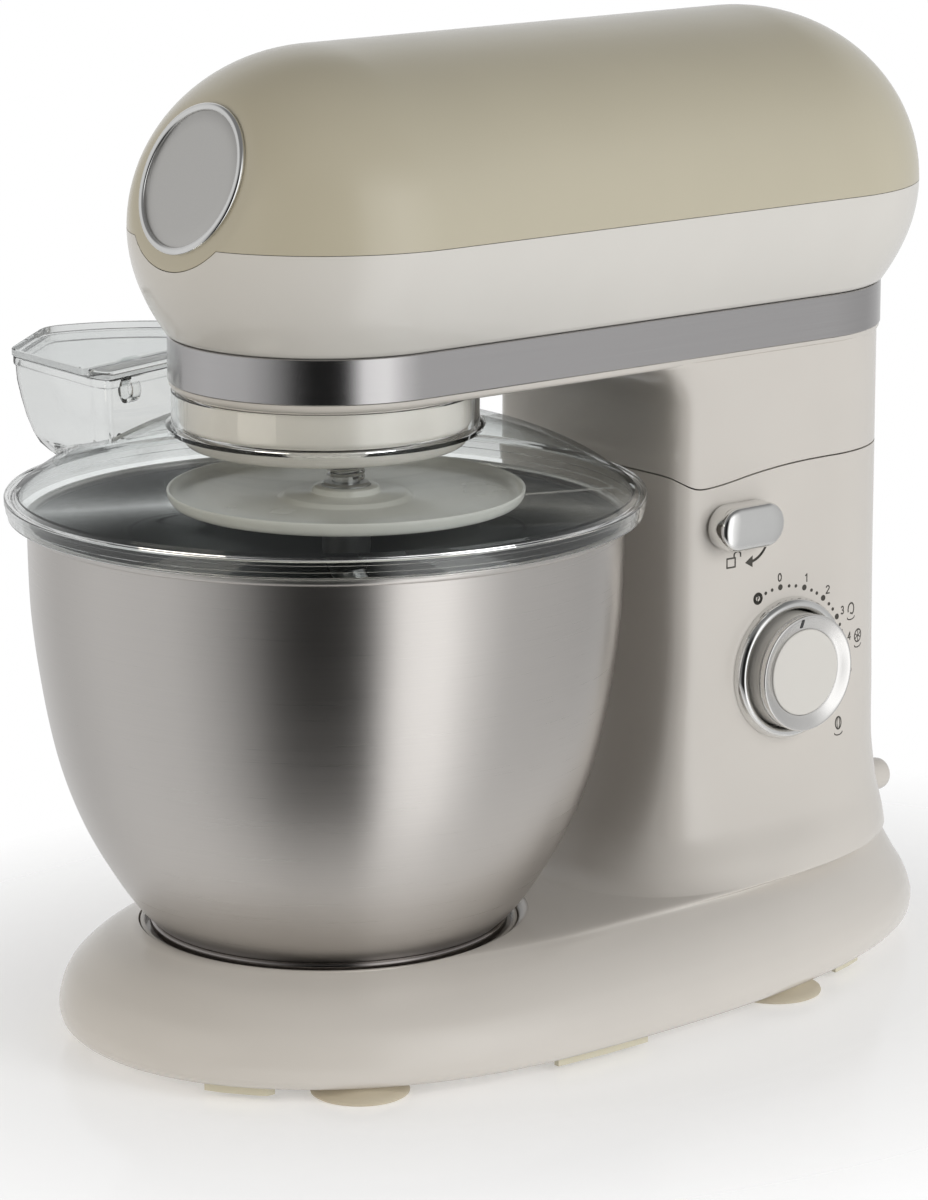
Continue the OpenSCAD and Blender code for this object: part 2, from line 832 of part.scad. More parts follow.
module dough_guard() {
  color("#e6e4de")
    translate([px, py, 0])
      rotate_extrude()
        polygon([[9, disc_z], [disc_r - 3, disc_z], [disc_r - 0.8, disc_z + 1.4], [disc_r, disc_z + 5.6],
          [disc_r - 1.6, disc_z + 5.6], [disc_r - 3.4, disc_z + 1.8], [24, disc_z + 1.8], [22, disc_z + 3.4],
          [13.4, disc_z + 3.4], [12, disc_z + 6.4], [9, disc_z + 6.4]]);
}

// ---------- splash guard ----------

// The chute's plan, in a frame turned to its own direction, drawn inwards by t.
function chute_pts(t) = [[73 + t, 49.7 - 1.37 * t], [125 - 0.72 * t, 33 - 0.82 * t],
  [146 - 1.12 * t, -11 + 0.04 * t], [136 - 0.82 * t, -29 + 0.59 * t], [121 - 0.59 * t, -45 + 0.83 * t],
  [96 - 0.21 * t, -56 + t], [73 + t, -56 + t]];

module chute_solid(t, z0, z1) {
  rotate([0, 0, chute_a])
    translate([0, 0, z0]) linear_extrude(height = z1 - z0) polygon(chute_pts(t));
}

// Widening funnel between the dome and the rim.
module chute_funnel(t) {
  rotate([0, 0, chute_a])
    hull() {
      translate([0, 0, chute_z - 9]) linear_extrude(height = 1) polygon(chute_pts(t));
      translate([0, 0, chute_z - 28])
        linear_extrude(height = 0.4)
          polygon([for (p = chute_pts(t)) [min(p[0], 72 + (p[0] - 72) * 0.68), p[1] * 0.94]]);
      translate([0, 0, 209])
        linear_extrude(height = 0.4)
          polygon([for (p = chute_pts(t)) [72 + (p[0] - 72) * 0.42, p[1] * 0.8]]);
    }
}

module guard_dome(t, z0) {
  rotate_extrude()
    polygon([[0, z0], [119 - t, z0], [118 - t, 208.2 - t], [112, 211.5 - t], [100, 218.2 - t], [85, 225 - t],
      [70, 230.9 - t], [57.9 - t, 235.8 - t], [0, 235.8 - t]]);
}

module splash_guard() {
  color([0.85, 0.88, 0.9, 0.35])
    difference() {
      union() {
        // stepped rim over the bowl
        rotate_extrude()
          polygon([[116, 201.8], [119.2, 201.8], [119.2, 204.4], [120, 204.4], [120, 207],
            [guard_r, 207], [guard_r, 209.6], [118, 210.1], [116, 208]]);
        difference() {
          guard_dome(0, 206);
          guard_dome(guard_t, 200);
          chute_funnel(guard_t);
        }
        // collar round the mixer's hub
        ring(57.7, 55.5, 233.6, 248.6);
        difference() {
          union() {
            chute_funnel(0);
            chute_solid(0, chute_z - 9, chute_z - 4);
            chute_solid(-1.4, chute_z - 4, chute_z);
          }
          chute_funnel(guard_t);
          chute_solid(guard_t, chute_z - 10, chute_z + 1);
          guard_dome(guard_t, 200);
        }
        // hinge posts of the chute's lid
        for (v = [-34, 30])
          rotate([0, 0, chute_a]) translate([70.6, v - 2, chute_z - 8]) cube([4, 4, 8]);
      }
      cylinder(r = 55.5, h = 260);
    }
}

module chute_flap() {
  color([0.85, 0.88, 0.9, 0.35])
    rotate([0, 0, chute_a]) {
      translate([0, 0, chute_z + 0.4])
        linear_extrude(height = 1.8)
          polygon([for (p = chute_pts(-1)) [max(p[0], 79), p[1]]]);
      // knuckles between the posts
      for (v = [-30, 20])
        translate([74.6, v, chute_z + 2.4]) rotate([-90, 0, 0]) cylinder(r = 1.6, h = 8);
      for (v = [-30, 20])
        translate([74.6, v, chute_z + 0.8]) cube([6, 8, 1.4]);
    }
}

// ---------- controls ----------

module speed_knob() {
  color("#c8cacc")
    at_dial()
      union() {
        rotate_extrude()
          polygon([[0, 57], [knob_r - 2, 57], [knob_r - 1.4, 60], [knob_r - 0.6, 65], [knob_r + 1, 69.6],
            [knob_r + 1.2, 71.2], [17.2, 71], [17.2, 69.4], [0, 69.4]]);
        translate([0, 0, 31]) cylinder(r = 3, h = 28);
      }
}

module knob_cap() {
  color("#ded9cd")
    at_dial()
      rotate_extrude()
        polygon([[0, 69.4], [17.1, 69.4], [17.1, 71.2], [15, 71.9], [0, 72.3]]);
}

module release_lever() {
  color("#c8cacc")
    at_lever() {
      translate([0, 0, col_w + 0.5])
        linear_extrude(height = 11)
          union() {
            translate([0, -6.6]) circle(r = 8.5);
            translate([0, 6.6]) circle(r = 8.5);
            translate([-8.5, -6.6]) square([17, 13.2]);
          }
      translate([0, 0, 42]) cylinder(r = 4, h = 18);
      // crank that moves the bolt
      translate([0, 0, 41]) cylinder(r = 5.5, h = 4.6);
      translate([-8.8, -3, 41]) cube([8.8, 6, 4.6]);
      translate([-7, 0, 34.8]) cylinder(r = 1.5, h = 8);
    }
}

module latch_bolt() {
  color("#9a9c9f")
    difference() {
      union() {
        translate([-12.4, 151, 176.9]) cube([50.2, 14, 3]);
        translate([34.4, 151, 176.9]) cube([3.4, 14, 17.9]);
        translate([-4, 143, 176.9]) cube([8, 9, 3]);
        translate([-4, 143, 176.9]) cube([8, 3, 14]);
        translate([-4, 141.5, 188.6]) cube([8, 4, 2.3]);
      }
      translate([30, lever_y - 2.4, 188]) cube([12, 4.8, 8]);
    }
}

// ---------- bowl ----------

function bowl_side(t) = [[67 - t, 45], [72.1 - t, 50], [77.5 - t, 57], [82.7 - t, 65], [88.6 - t, 75], [93.6 - t, 85],
  [98.4 - t, 97], [102.4 - t, 110], [105.7 - t, 125], [108.2 - t, 140], [110.2 - t, 155], [111.5 - t, 170],
  [bowl_r - t, 189], [bowl_r - t, 199.4]];

module bowl() {
  color("#b4b0a8") {
    rotate_extrude()
      polygon(concat([[0, 45]], bowl_side(0), [for (i = [13 : -1 : 1]) bowl_side(bowl_t)[i]],
        [[67 - bowl_t, 45 + bowl_t], [0, 45 + bowl_t]]));
    rotate_extrude()
      translate([bowl_r + 0.2, bowl_top - 1.7]) circle(r = 1.7, $fn = 24);
  }
}

module bowl_foot() {
  color("#6a6661") {
    rotate_extrude()
      polygon([[64.2, 40.7], [bowl_foot_r - 0.6, 40.7], [bowl_foot_r, 41.4], [bowl_foot_r, 44.9], [63.2, 44.9],
        [63.2, 43.9], [64.2, 43.9]]);
  }
}

base_housing();
bottom_cover();
suction_feet();
bowl_seat();
cord_gland();
dial_bezel();
speed_switch();
control_board();
column_top_cover();
hinge_brackets();
hinge_pin();
latch_guide();
base_screws();
arm_housing();
head_lower_shell();
head_top_cover();
trim_band();
badge_ring();
badge_disc();
neck_cover();
hinge_arms();
latch_catch();
drive_chassis();
ring_gear();
hub_housing();
shaft_bushings();
motor_stator();
field_coils();
motor_brackets();
brush_holders();
drive_belt();
head_screws();
motor_shaft();
armature();
commutator();
cooling_fan();
motor_pulley();
countershaft();
belt_pulley();
main_shaft();
main_gear();
planet_carrier();
planet_gear();
output_shaft();
coupling_spring();
dough_hook();
dough_guard();
splash_guard();
chute_flap();
speed_knob();
knob_cap();
release_lever();
latch_bolt();
bowl();
bowl_foot();
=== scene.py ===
import json
import math

import bmesh
import bpy
from mathutils import Matrix, Vector
from mathutils.bvhtree import BVHTree
from mathutils.geometry import barycentric_transform


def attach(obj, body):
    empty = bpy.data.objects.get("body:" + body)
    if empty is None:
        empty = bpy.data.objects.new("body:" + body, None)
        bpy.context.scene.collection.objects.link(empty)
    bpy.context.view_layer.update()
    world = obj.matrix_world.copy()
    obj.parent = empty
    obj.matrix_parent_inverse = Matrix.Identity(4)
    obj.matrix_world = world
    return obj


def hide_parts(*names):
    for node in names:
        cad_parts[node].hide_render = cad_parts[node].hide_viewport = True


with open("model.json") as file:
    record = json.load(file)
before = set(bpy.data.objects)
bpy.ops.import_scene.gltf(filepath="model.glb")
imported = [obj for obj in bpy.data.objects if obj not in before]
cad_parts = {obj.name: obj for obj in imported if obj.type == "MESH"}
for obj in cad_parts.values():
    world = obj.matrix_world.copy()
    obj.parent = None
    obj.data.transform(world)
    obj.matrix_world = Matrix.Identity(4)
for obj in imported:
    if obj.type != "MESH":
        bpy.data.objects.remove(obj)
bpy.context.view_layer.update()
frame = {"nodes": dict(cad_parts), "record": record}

MM = 0.001
sin, cos, pi = math.sin, math.cos, math.pi


# ---------- camera, light and floor ----------

AZIMUTH = math.radians(51.0)
DIP = math.radians(13.15)
LOOK = Vector((-sin(AZIMUTH) * cos(DIP), cos(AZIMUTH) * cos(DIP), -sin(DIP)))
CAMERA_AT = (1.4259, -1.0881, 0.5857)
LENS, SENSOR = 146.5, 36.0

cam_data = bpy.data.cameras.new("camera")
cam_data.lens = LENS
cam_data.sensor_width = SENSOR
cam_data.clip_start = 0.05
cam = bpy.data.objects.new("camera", cam_data)
bpy.context.scene.collection.objects.link(cam)
cam.location = CAMERA_AT
cam.rotation_mode = "QUATERNION"
cam.rotation_quaternion = LOOK.to_track_quat("-Z", "Y")
bpy.context.scene.camera = cam
bpy.context.scene.view_settings.view_transform = "Standard"


def toward(angle, height):
    """Unit direction at an angle to the right of the camera, seen from the object, rising by height degrees."""
    a, h = math.radians(angle), math.radians(height)
    back = Vector((sin(AZIMUTH), -cos(AZIMUTH), 0))
    right = Vector((cos(AZIMUTH), sin(AZIMUTH), 0))
    return (back * cos(a) + right * sin(a)) * cos(h) + Vector((0, 0, sin(h)))


CENTRE = Vector((0.0, 0.08, 0.2))
WHITE, WARM = (1, 1, 1), (1, 0.93, 0.82)


def softbox(name, angle, height, away, width, tall, power, tint):
    """A lamp panel that faces the mixer. Gloss and steel don't show it: what shines on them is the room below."""
    data = bpy.data.lights.new(name, "AREA")
    data.shape = "RECTANGLE"
    data.size, data.size_y = width, tall
    data.energy = power
    data.color = tint
    lamp = bpy.data.objects.new(name, data)
    bpy.context.scene.collection.objects.link(lamp)
    d = toward(angle, height)
    lamp.location = CENTRE + d * away
    lamp.rotation_mode = "QUATERNION"
    lamp.rotation_quaternion = d.to_track_quat("Z", "Y")
    lamp.visible_glossy = False


softbox("key_right", 54, 12, 1.7, 0.9, 1.3, 13.0, WHITE)
softbox("fill_left", -52, 9, 1.9, 1.1, 1.3, 11.0, WARM)
softbox("top_soft", -150, 72, 1.6, 1.3, 1.3, 0.5, WHITE)

world = bpy.data.worlds.new("studio")
bpy.context.scene.world = world
world.use_nodes = True
wn = world.node_tree
wn.nodes.clear()


def wnode(kind, **values):
    n = wn.nodes.new(kind)
    for k, v in values.items():
        setattr(n, k, v)
    return n


def grey_ramp(stops):
    n = wnode("ShaderNodeValToRGB")
    r = n.color_ramp
    while len(r.elements) < len(stops):
        r.elements.new(0.5)
    for e, (at, v) in zip(r.elements, stops):
        e.position, e.color = at, (v, v, v, 1)
    return n


# Brightness of the room by angle to the right of the camera, in degrees. A dark strip beside the camera and a
# bright one to its right make the band's and the bowl's dark and light stripes.
ROOM = [(-180, 0.8), (-125, 0.6), (-96, 0.72), (-60, 0.66), (-42, 0.46), (-30, 0.26), (-19, 0.07), (-8, 0.015),
        (10, 0.015), (17, 0.07), (23, 0.5), (30, 1.25), (48, 1.4), (60, 0.95), (76, 0.62), (125, 0.5), (150, 0.6),
        (180, 0.8)]
ROOM_ABOVE = 0.2
FADE_UP = (0.42, 0.85)  # heights on the unit sphere between which the ring of light turns into the room above
w_out = wnode("ShaderNodeOutputWorld")
w_mix = wnode("ShaderNodeMixShader")
w_path = wnode("ShaderNodeLightPath")
w_white = wnode("ShaderNodeBackground")
w_room = wnode("ShaderNodeBackground")
w_coord = wnode("ShaderNodeTexCoord")
w_right = wnode("ShaderNodeVectorMath", operation="DOT_PRODUCT")
w_back = wnode("ShaderNodeVectorMath", operation="DOT_PRODUCT")
w_angle = wnode("ShaderNodeMath", operation="ARCTAN2")
w_turn = wnode("ShaderNodeMath", operation="MULTIPLY_ADD")
w_sep = wnode("ShaderNodeSeparateXYZ")
w_up = wnode("ShaderNodeMapRange", interpolation_type="SMOOTHSTEP")
w_blend = wnode("ShaderNodeMix", data_type="RGBA")
w_ring = grey_ramp([((a + 180) / 360, v) for a, v in ROOM])
w_white.inputs["Color"].default_value = (*WHITE, 1)
w_right.inputs[1].default_value = toward(90, 0)
w_back.inputs[1].default_value = toward(0, 0)
w_turn.inputs[1].default_value = 1 / (2 * pi)
w_turn.inputs[2].default_value = 0.5
w_up.inputs["From Min"].default_value = FADE_UP[0]
w_up.inputs["From Max"].default_value = FADE_UP[1]
w_blend.inputs[7].default_value = (ROOM_ABOVE, ROOM_ABOVE, ROOM_ABOVE, 1)
for source, target in (
        (w_coord.outputs["Generated"], w_right.inputs[0]), (w_coord.outputs["Generated"], w_back.inputs[0]),
        (w_right.outputs["Value"], w_angle.inputs[0]), (w_back.outputs["Value"], w_angle.inputs[1]),
        (w_angle.outputs[0], w_turn.inputs[0]), (w_turn.outputs[0], w_ring.inputs["Fac"]),
        (w_coord.outputs["Generated"], w_sep.inputs[0]), (w_sep.outputs["Z"], w_up.inputs["Value"]),
        (w_up.outputs["Result"], w_blend.inputs[0]), (w_ring.outputs["Color"], w_blend.inputs[6]),
        (w_blend.outputs[2], w_room.inputs["Color"]), (w_path.outputs["Is Camera Ray"], w_mix.inputs["Fac"]),
        (w_room.outputs["Background"], w_mix.inputs[1]), (w_white.outputs["Background"], w_mix.inputs[2]),
        (w_mix.outputs["Shader"], w_out.inputs["Surface"])):
    wn.links.new(source, target)


# ---------- materials ----------

def shader(name):
    mat = bpy.data.materials.new(name)
    mat.use_nodes = True
    nt = mat.node_tree
    return mat, nt, nt.nodes["Principled BSDF"]


def coords(nt, scale):
    tc = nt.nodes.new("ShaderNodeTexCoord")
    mp = nt.nodes.new("ShaderNodeMapping")
    mp.inputs["Scale"].default_value = scale
    nt.links.new(tc.outputs["Object"], mp.inputs["Vector"])
    return mp.outputs["Vector"]


def noise(nt, scale, vec=(1, 1, 1), detail=3.0, rough=0.5):
    n = nt.nodes.new("ShaderNodeTexNoise")
    n.inputs["Scale"].default_value = scale
    n.inputs["Detail"].default_value = detail
    n.inputs["Roughness"].default_value = rough
    nt.links.new(coords(nt, vec), n.inputs["Vector"])
    return n.outputs["Fac"]


def ramped(nt, fac, lo, hi, a=0.3, b=0.7):
    r = nt.nodes.new("ShaderNodeValToRGB")
    r.color_ramp.elements[0].position, r.color_ramp.elements[0].color = a, (*lo, 1)
    r.color_ramp.elements[1].position, r.color_ramp.elements[1].color = b, (*hi, 1)
    nt.links.new(fac, r.inputs["Fac"])
    return r.outputs["Color"]


def ranged(nt, fac, lo, hi, a=0.3, b=0.7):
    m = nt.nodes.new("ShaderNodeMapRange")
    for k, v in (("From Min", a), ("From Max", b), ("To Min", lo), ("To Max", hi)):
        m.inputs[k].default_value = v
    nt.links.new(fac, m.inputs["Value"])
    return m.outputs["Result"]


def bumped(nt, bsdf, fac, strength, distance):
    b = nt.nodes.new("ShaderNodeBump")
    b.inputs["Strength"].default_value = strength
    b.inputs["Distance"].default_value = distance
    nt.links.new(fac, b.inputs["Height"])
    nt.links.new(b.outputs["Normal"], bsdf.inputs["Normal"])


def srgb(r, g, b):
    return tuple((c / 255 / 12.92) if c <= 10 else ((c / 255 + 0.055) / 1.055) ** 2.4 for c in (r, g, b))


def around(colour, spread):
    """A colour's darker and lighter neighbours."""
    return tuple(c * (1 - spread) for c in colour), tuple(min(1, c * (1 + spread)) for c in colour)


def plastic(name, colour, rough, coat=0.0, grain=0.00002):
    """Moulded plastic: a faint mottle, uneven gloss and a fine skin."""
    mat, nt, p = shader(name)
    lo, hi = around(colour, 0.02)
    nt.links.new(ramped(nt, noise(nt, 14, detail=4), lo, hi), p.inputs["Base Color"])
    nt.links.new(ranged(nt, noise(nt, 34, detail=5), *rough), p.inputs["Roughness"])
    bumped(nt, p, noise(nt, 900, detail=2), 0.25, grain)
    p.inputs["IOR"].default_value = 1.5
    p.inputs["Coat Weight"].default_value = coat
    p.inputs["Coat Roughness"].default_value = 0.05
    return mat


def metal(name, colour, rough, stretch, scale, aniso, spread, grain, turn=None):
    """Metal with lines or grain along the axes whose stretch is small; the brushing goes round the axis turn."""
    mat, nt, p = shader(name)
    lo, hi = around(colour, spread)
    lines = noise(nt, scale, stretch, detail=4, rough=0.65)
    nt.links.new(ramped(nt, lines, lo, hi, 0.25, 0.75), p.inputs["Base Color"])
    nt.links.new(ranged(nt, lines, rough[0], rough[1], 0.3, 0.7), p.inputs["Roughness"])
    bumped(nt, p, lines, 0.3, grain)
    p.inputs["Metallic"].default_value = 1.0
    p.inputs["Anisotropic"].default_value = aniso
    if turn:
        p.inputs["Anisotropic Rotation"].default_value = 0.25
        t = nt.nodes.new("ShaderNodeTangent")
        t.direction_type = "RADIAL"
        t.axis = turn
        nt.links.new(t.outputs["Tangent"], p.inputs["Tangent"])
    return mat


def clear(name, tint, edge):
    """A thin clear wall: it shows what is behind it, and darkens and shines more where it is seen edge on."""
    mat, nt, p = shader(name)
    out = nt.nodes["Material Output"]
    p.inputs["Base Color"].default_value = (0.8, 0.82, 0.82, 1)
    p.inputs["Metallic"].default_value = 1.0
    nt.links.new(ranged(nt, noise(nt, 60, detail=4), 0.03, 0.06), p.inputs["Roughness"])
    facing = nt.nodes.new("ShaderNodeLayerWeight")
    facing.inputs["Blend"].default_value = 0.5
    curve = nt.nodes.new("ShaderNodeMath")
    curve.operation = "POWER"
    curve.inputs[1].default_value = 5.0
    nt.links.new(facing.outputs["Facing"], curve.inputs[0])
    shine = ranged(nt, curve.outputs[0], 0.03, 0.6, 0, 1)
    see = nt.nodes.new("ShaderNodeBsdfTransparent")
    r = nt.nodes.new("ShaderNodeValToRGB")
    r.color_ramp.elements[0].position, r.color_ramp.elements[0].color = 0.82, (*tint, 1)
    r.color_ramp.elements[1].position, r.color_ramp.elements[1].color = 1.0, (*edge, 1)
    nt.links.new(facing.outputs["Facing"], r.inputs["Fac"])
    nt.links.new(r.outputs["Color"], see.inputs["Color"])
    mix = nt.nodes.new("ShaderNodeMixShader")
    nt.links.new(shine, mix.inputs["Fac"])
    nt.links.new(see.outputs["BSDF"], mix.inputs[1])
    nt.links.new(p.outputs["BSDF"], mix.inputs[2])
    nt.links.new(mix.outputs["Shader"], out.inputs["Surface"])
    return mat


def glass(name, tint):
    """Thick clear plastic that bends light and lets the lamps' light through."""
    mat, nt, p = shader(name)
    out = nt.nodes["Material Output"]
    p.inputs["Base Color"].default_value = (*tint, 1)
    p.inputs["Transmission Weight"].default_value = 1.0
    p.inputs["IOR"].default_value = 1.45
    nt.links.new(ranged(nt, noise(nt, 60, detail=4), 0.015, 0.035), p.inputs["Roughness"])
    lit = nt.nodes.new("ShaderNodeBsdfTransparent")
    lit.inputs["Color"].default_value = (0.8, 0.82, 0.82, 1)
    path = nt.nodes.new("ShaderNodeLightPath")
    mix = nt.nodes.new("ShaderNodeMixShader")
    nt.links.new(path.outputs["Is Shadow Ray"], mix.inputs["Fac"])
    nt.links.new(p.outputs["BSDF"], mix.inputs[1])
    nt.links.new(lit.outputs["BSDF"], mix.inputs[2])
    nt.links.new(mix.outputs["Shader"], out.inputs["Surface"])
    return mat


NO_STRETCH = (1, 1, 1)
METALS = {
    # colour, roughness, stretch, scale, anisotropy, spread, grain, turn
    "brushed_band": ((0.52, 0.51, 0.51), (0.2, 0.26), (1, 1, 220), 12, 0.8, 0.03, 0.000004, "Z"),
    "bowl_steel": ((0.61, 0.585, 0.56), (0.27, 0.33), (1, 1, 240), 10, 0.85, 0.03, 0.000004, "Z"),
    # a darker copy of the bowl's steel: painted shade for the inside of the bowl under the lid
    "bowl_steel_painted_shade": ((0.20, 0.205, 0.205), (0.3, 0.4), (1, 1, 160), 10, 0.6, 0.05, 0.000006, "Z"),
    "foot_steel": ((0.30, 0.28, 0.27), (0.08, 0.18), (3, 3, 300), 9, 0.3, 0.1, 0.00001, "Z"),
    "chrome_trim": ((0.80, 0.80, 0.79), (0.04, 0.08), NO_STRETCH, 60, 0.0, 0.02, 0.000004),
    "knob_satin": ((0.76, 0.75, 0.735), (0.17, 0.22), NO_STRETCH, 900, 0.0, 0.02, 0.000006),
    "satin_silver": ((0.60, 0.59, 0.57), (0.36, 0.42), NO_STRETCH, 1600, 0.0, 0.03, 0.00001),
    "hook_cast": ((0.66, 0.66, 0.66), (0.28, 0.4), NO_STRETCH, 500, 0.0, 0.05, 0.00004),
    "machined_steel": ((0.62, 0.62, 0.62), (0.14, 0.24), (1, 1, 9), 90, 0.0, 0.05, 0.00001),
    "die_cast": ((0.5, 0.51, 0.52), (0.4, 0.55), NO_STRETCH, 700, 0.0, 0.06, 0.00004),
    "laminations": ((0.33, 0.33, 0.34), (0.35, 0.5), (0.2, 0.2, 30), 60, 0.0, 0.2, 0.00006),
    "copper": ((0.72, 0.36, 0.2), (0.25, 0.4), (1, 1, 8), 160, 0.0, 0.15, 0.00006),
    "bronze": ((0.6, 0.44, 0.24), (0.3, 0.45), NO_STRETCH, 500, 0.0, 0.08, 0.00003),
}
M = {
    "cream_gloss": plastic("cream_gloss", srgb(206, 201, 194), (0.16, 0.22), coat=0.2),
    # a lighter copy of the cream: painted light that makes the head's lower shell and the dial knob brighter than
    # the column
    "cream_light": plastic("cream_light", srgb(214, 211, 205), (0.16, 0.22), coat=0.2),
    "champagne_gloss": plastic("champagne_gloss", srgb(190, 183, 162), (0.18, 0.24), coat=0.3),
    "cream_under": plastic("cream_under", srgb(205, 199, 178), (0.35, 0.5)),
    "foot_rubber": plastic("foot_rubber", srgb(196, 186, 165), (0.45, 0.6), grain=0.00006),
    "guard_white": plastic("guard_white", srgb(220, 219, 212), (0.2, 0.28)),
    "black_plastic": plastic("black_plastic", (0.02, 0.02, 0.022), (0.35, 0.5)),
    "grey_plastic": plastic("grey_plastic", srgb(120, 117, 110), (0.4, 0.5), grain=0.00005),
    "board_green": plastic("board_green", (0.03, 0.16, 0.06), (0.3, 0.4)),
    "belt_rubber": plastic("belt_rubber", (0.02, 0.02, 0.02), (0.5, 0.65)),
    "gear_nylon": plastic("gear_nylon", srgb(214, 203, 165), (0.35, 0.45)),
    "print_grey": plastic("print_grey", srgb(64, 61, 55), (0.4, 0.5)),
    "clear_plastic": clear("clear_plastic", (0.95, 0.96, 0.958), (0.4, 0.41, 0.41)),
    "clear_wall": glass("clear_wall", (0.965, 0.975, 0.97)),
}
for name, look in METALS.items():
    M[name] = metal(name, *look)


# ---------- mesh helpers ----------

def piece(name, verts, faces, mat, body, slot=None, replaces=(), sharp=38):
    """One piece from points in millimetres, with its material, body and the CAD nodes it stands for; slot is not
    used.
    """
    me = bpy.data.meshes.new(name)
    me.from_pydata([Vector(v) * MM for v in verts], [], faces)
    bm = bmesh.new()
    bm.from_mesh(me)
    bmesh.ops.remove_doubles(bm, verts=bm.verts, dist=2e-6)
    bmesh.ops.dissolve_degenerate(bm, edges=bm.edges, dist=1e-6)
    bmesh.ops.recalc_face_normals(bm, faces=bm.faces)
    bm.to_mesh(me)
    bm.free()
    o = bpy.data.objects.new(name, me)
    bpy.context.scene.collection.objects.link(o)
    finish_piece(o, mat, body, replaces, sharp)
    return o


def finish_piece(o, mat, body, replaces=(), sharp=38):
    me = o.data
    me.shade_smooth()
    me.set_sharp_from_angle(angle=math.radians(sharp))
    if mat:
        me.materials.clear()
        me.materials.append(M[mat])
    if body:
        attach(o, body)
        if replaces:
            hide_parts(*replaces)


def solid(verts, faces):
    """A helper solid that isn't a piece of the object: it is used up by carve()."""
    return piece("tmp", verts, faces, None, None)


def duplicate(o):
    twin = o.copy()
    twin.data = o.data.copy()
    bpy.context.scene.collection.objects.link(twin)
    return twin


def drop(o):
    me = o.data
    bpy.data.objects.remove(o)
    bpy.data.meshes.remove(me)


def carve(o, tool, how="DIFFERENCE"):
    """Cuts o with tool, or joins or intersects them, and uses the tool up."""
    m = o.modifiers.new("cut", "BOOLEAN")
    m.operation, m.solver, m.object = how, "EXACT", tool
    dg = bpy.context.evaluated_depsgraph_get()
    dg.update()
    me = bpy.data.meshes.new_from_object(o.evaluated_get(dg))
    o.modifiers.clear()
    old = o.data
    o.data = me
    bpy.data.meshes.remove(old)
    drop(tool)
    return o


def lathe(profile, n=144, axis=None):
    """Turns a closed outline of [radius, z] points about Z, or about axis."""
    verts, faces = [], []
    m = len(profile)
    for i in range(n):
        a = 2 * pi * i / n
        verts += [(r * cos(a), r * sin(a), z) for r, z in profile]
    for i in range(n):
        k = (i + 1) % n
        for j in range(m):
            q = (j + 1) % m
            faces.append((i * m + j, k * m + j, k * m + q, i * m + q))
    if axis:
        verts = [axis @ Vector(v) for v in verts]
    return verts, faces


def joined(*meshes):
    """Puts several (points, faces) meshes into one."""
    verts, faces = [], []
    for v, f in meshes:
        n0 = len(verts)
        verts += v
        faces += [tuple(i + n0 for i in q) for q in f]
    return verts, faces


def loft(rows, cap=True):
    """Skins rows of points that have the same count."""
    n = len(rows[0])
    verts = [p for r in rows for p in r]
    faces = []
    for j in range(len(rows) - 1):
        for i in range(n):
            k = (i + 1) % n
            faces.append((j * n + i, j * n + k, (j + 1) * n + k, (j + 1) * n + i))
    if cap:
        faces.append(tuple(reversed(range(n))))
        faces.append(tuple(range((len(rows) - 1) * n, len(rows) * n)))
    return verts, faces


def prism(points, z0, z1, axis=None):
    """A plate with an outline of (x, y) points."""
    rows = [[(x, y, z) for x, y in points] for z in (z0, z1)]
    v, f = loft(rows)
    if axis:
        v = [axis @ Vector(p) for p in v]
    return v, f


def curve_through(keys, x):
    """Monotone cubic through keys [(x, value), ...]."""
    n = len(keys)
    if x <= keys[0][0]:
        return keys[0][1]
    if x >= keys[-1][0]:
        return keys[-1][1]
    i = max(j for j in range(n - 1) if keys[j][0] <= x)

    def step(j):
        return (keys[j + 1][1] - keys[j][1]) / (keys[j + 1][0] - keys[j][0])

    def slope(j):
        if j == 0 or j == n - 1:
            return step(0) if j == 0 else step(n - 2)
        a, b = step(j - 1), step(j)
        return 0.0 if a * b <= 0 else 2 * a * b / (a + b)

    x0, x1 = keys[i][0], keys[i + 1][0]
    h, t = x1 - x0, (x - x0) / (x1 - x0)
    return ((2 * t**3 - 3 * t**2 + 1) * keys[i][1] + (t**3 - 2 * t**2 + t) * h * slope(i)
            + (3 * t**2 - 2 * t**3) * keys[i + 1][1] + (t**3 - t**2) * h * slope(i + 1))


def smooth_profile(points, steps=5):
    """Rounds a polyline of [r, z] points with a Catmull-Rom spline."""
    out = []
    n = len(points)
    for i in range(n - 1):
        p0, p1 = points[max(i - 1, 0)], points[i]
        p2, p3 = points[i + 1], points[min(i + 2, n - 1)]
        for s in range(steps):
            t = s / steps
            out.append(tuple(0.5 * (2 * b + (c - a) * t + (2 * a - 5 * b + 4 * c - d) * t * t
                                    + (3 * b - a - 3 * c + d) * t**3) for a, b, c, d in zip(p0, p1, p2, p3)))
    out.append(tuple(points[-1]))
    return out


def rounded(points, radius, steps=5):
    """Rounds the corners of a closed polygon of (x, y) points; radius may be a list."""
    out = []
    n = len(points)
    for i in range(n):
        p = Vector(points[i])
        a, b = Vector(points[i - 1]) - p, Vector(points[(i + 1) % n]) - p
        r = radius[i] if isinstance(radius, (list, tuple)) else radius
        d = min(r, a.length * 0.45, b.length * 0.45)
        if d < 1e-6:
            out.append(tuple(p))
            continue
        s, e = p + a.normalized() * d, p + b.normalized() * d
        for k in range(steps + 1):
            t = k / steps
            out.append(tuple(s * (1 - t) ** 2 + p * 2 * t * (1 - t) + e * t * t))
    return out


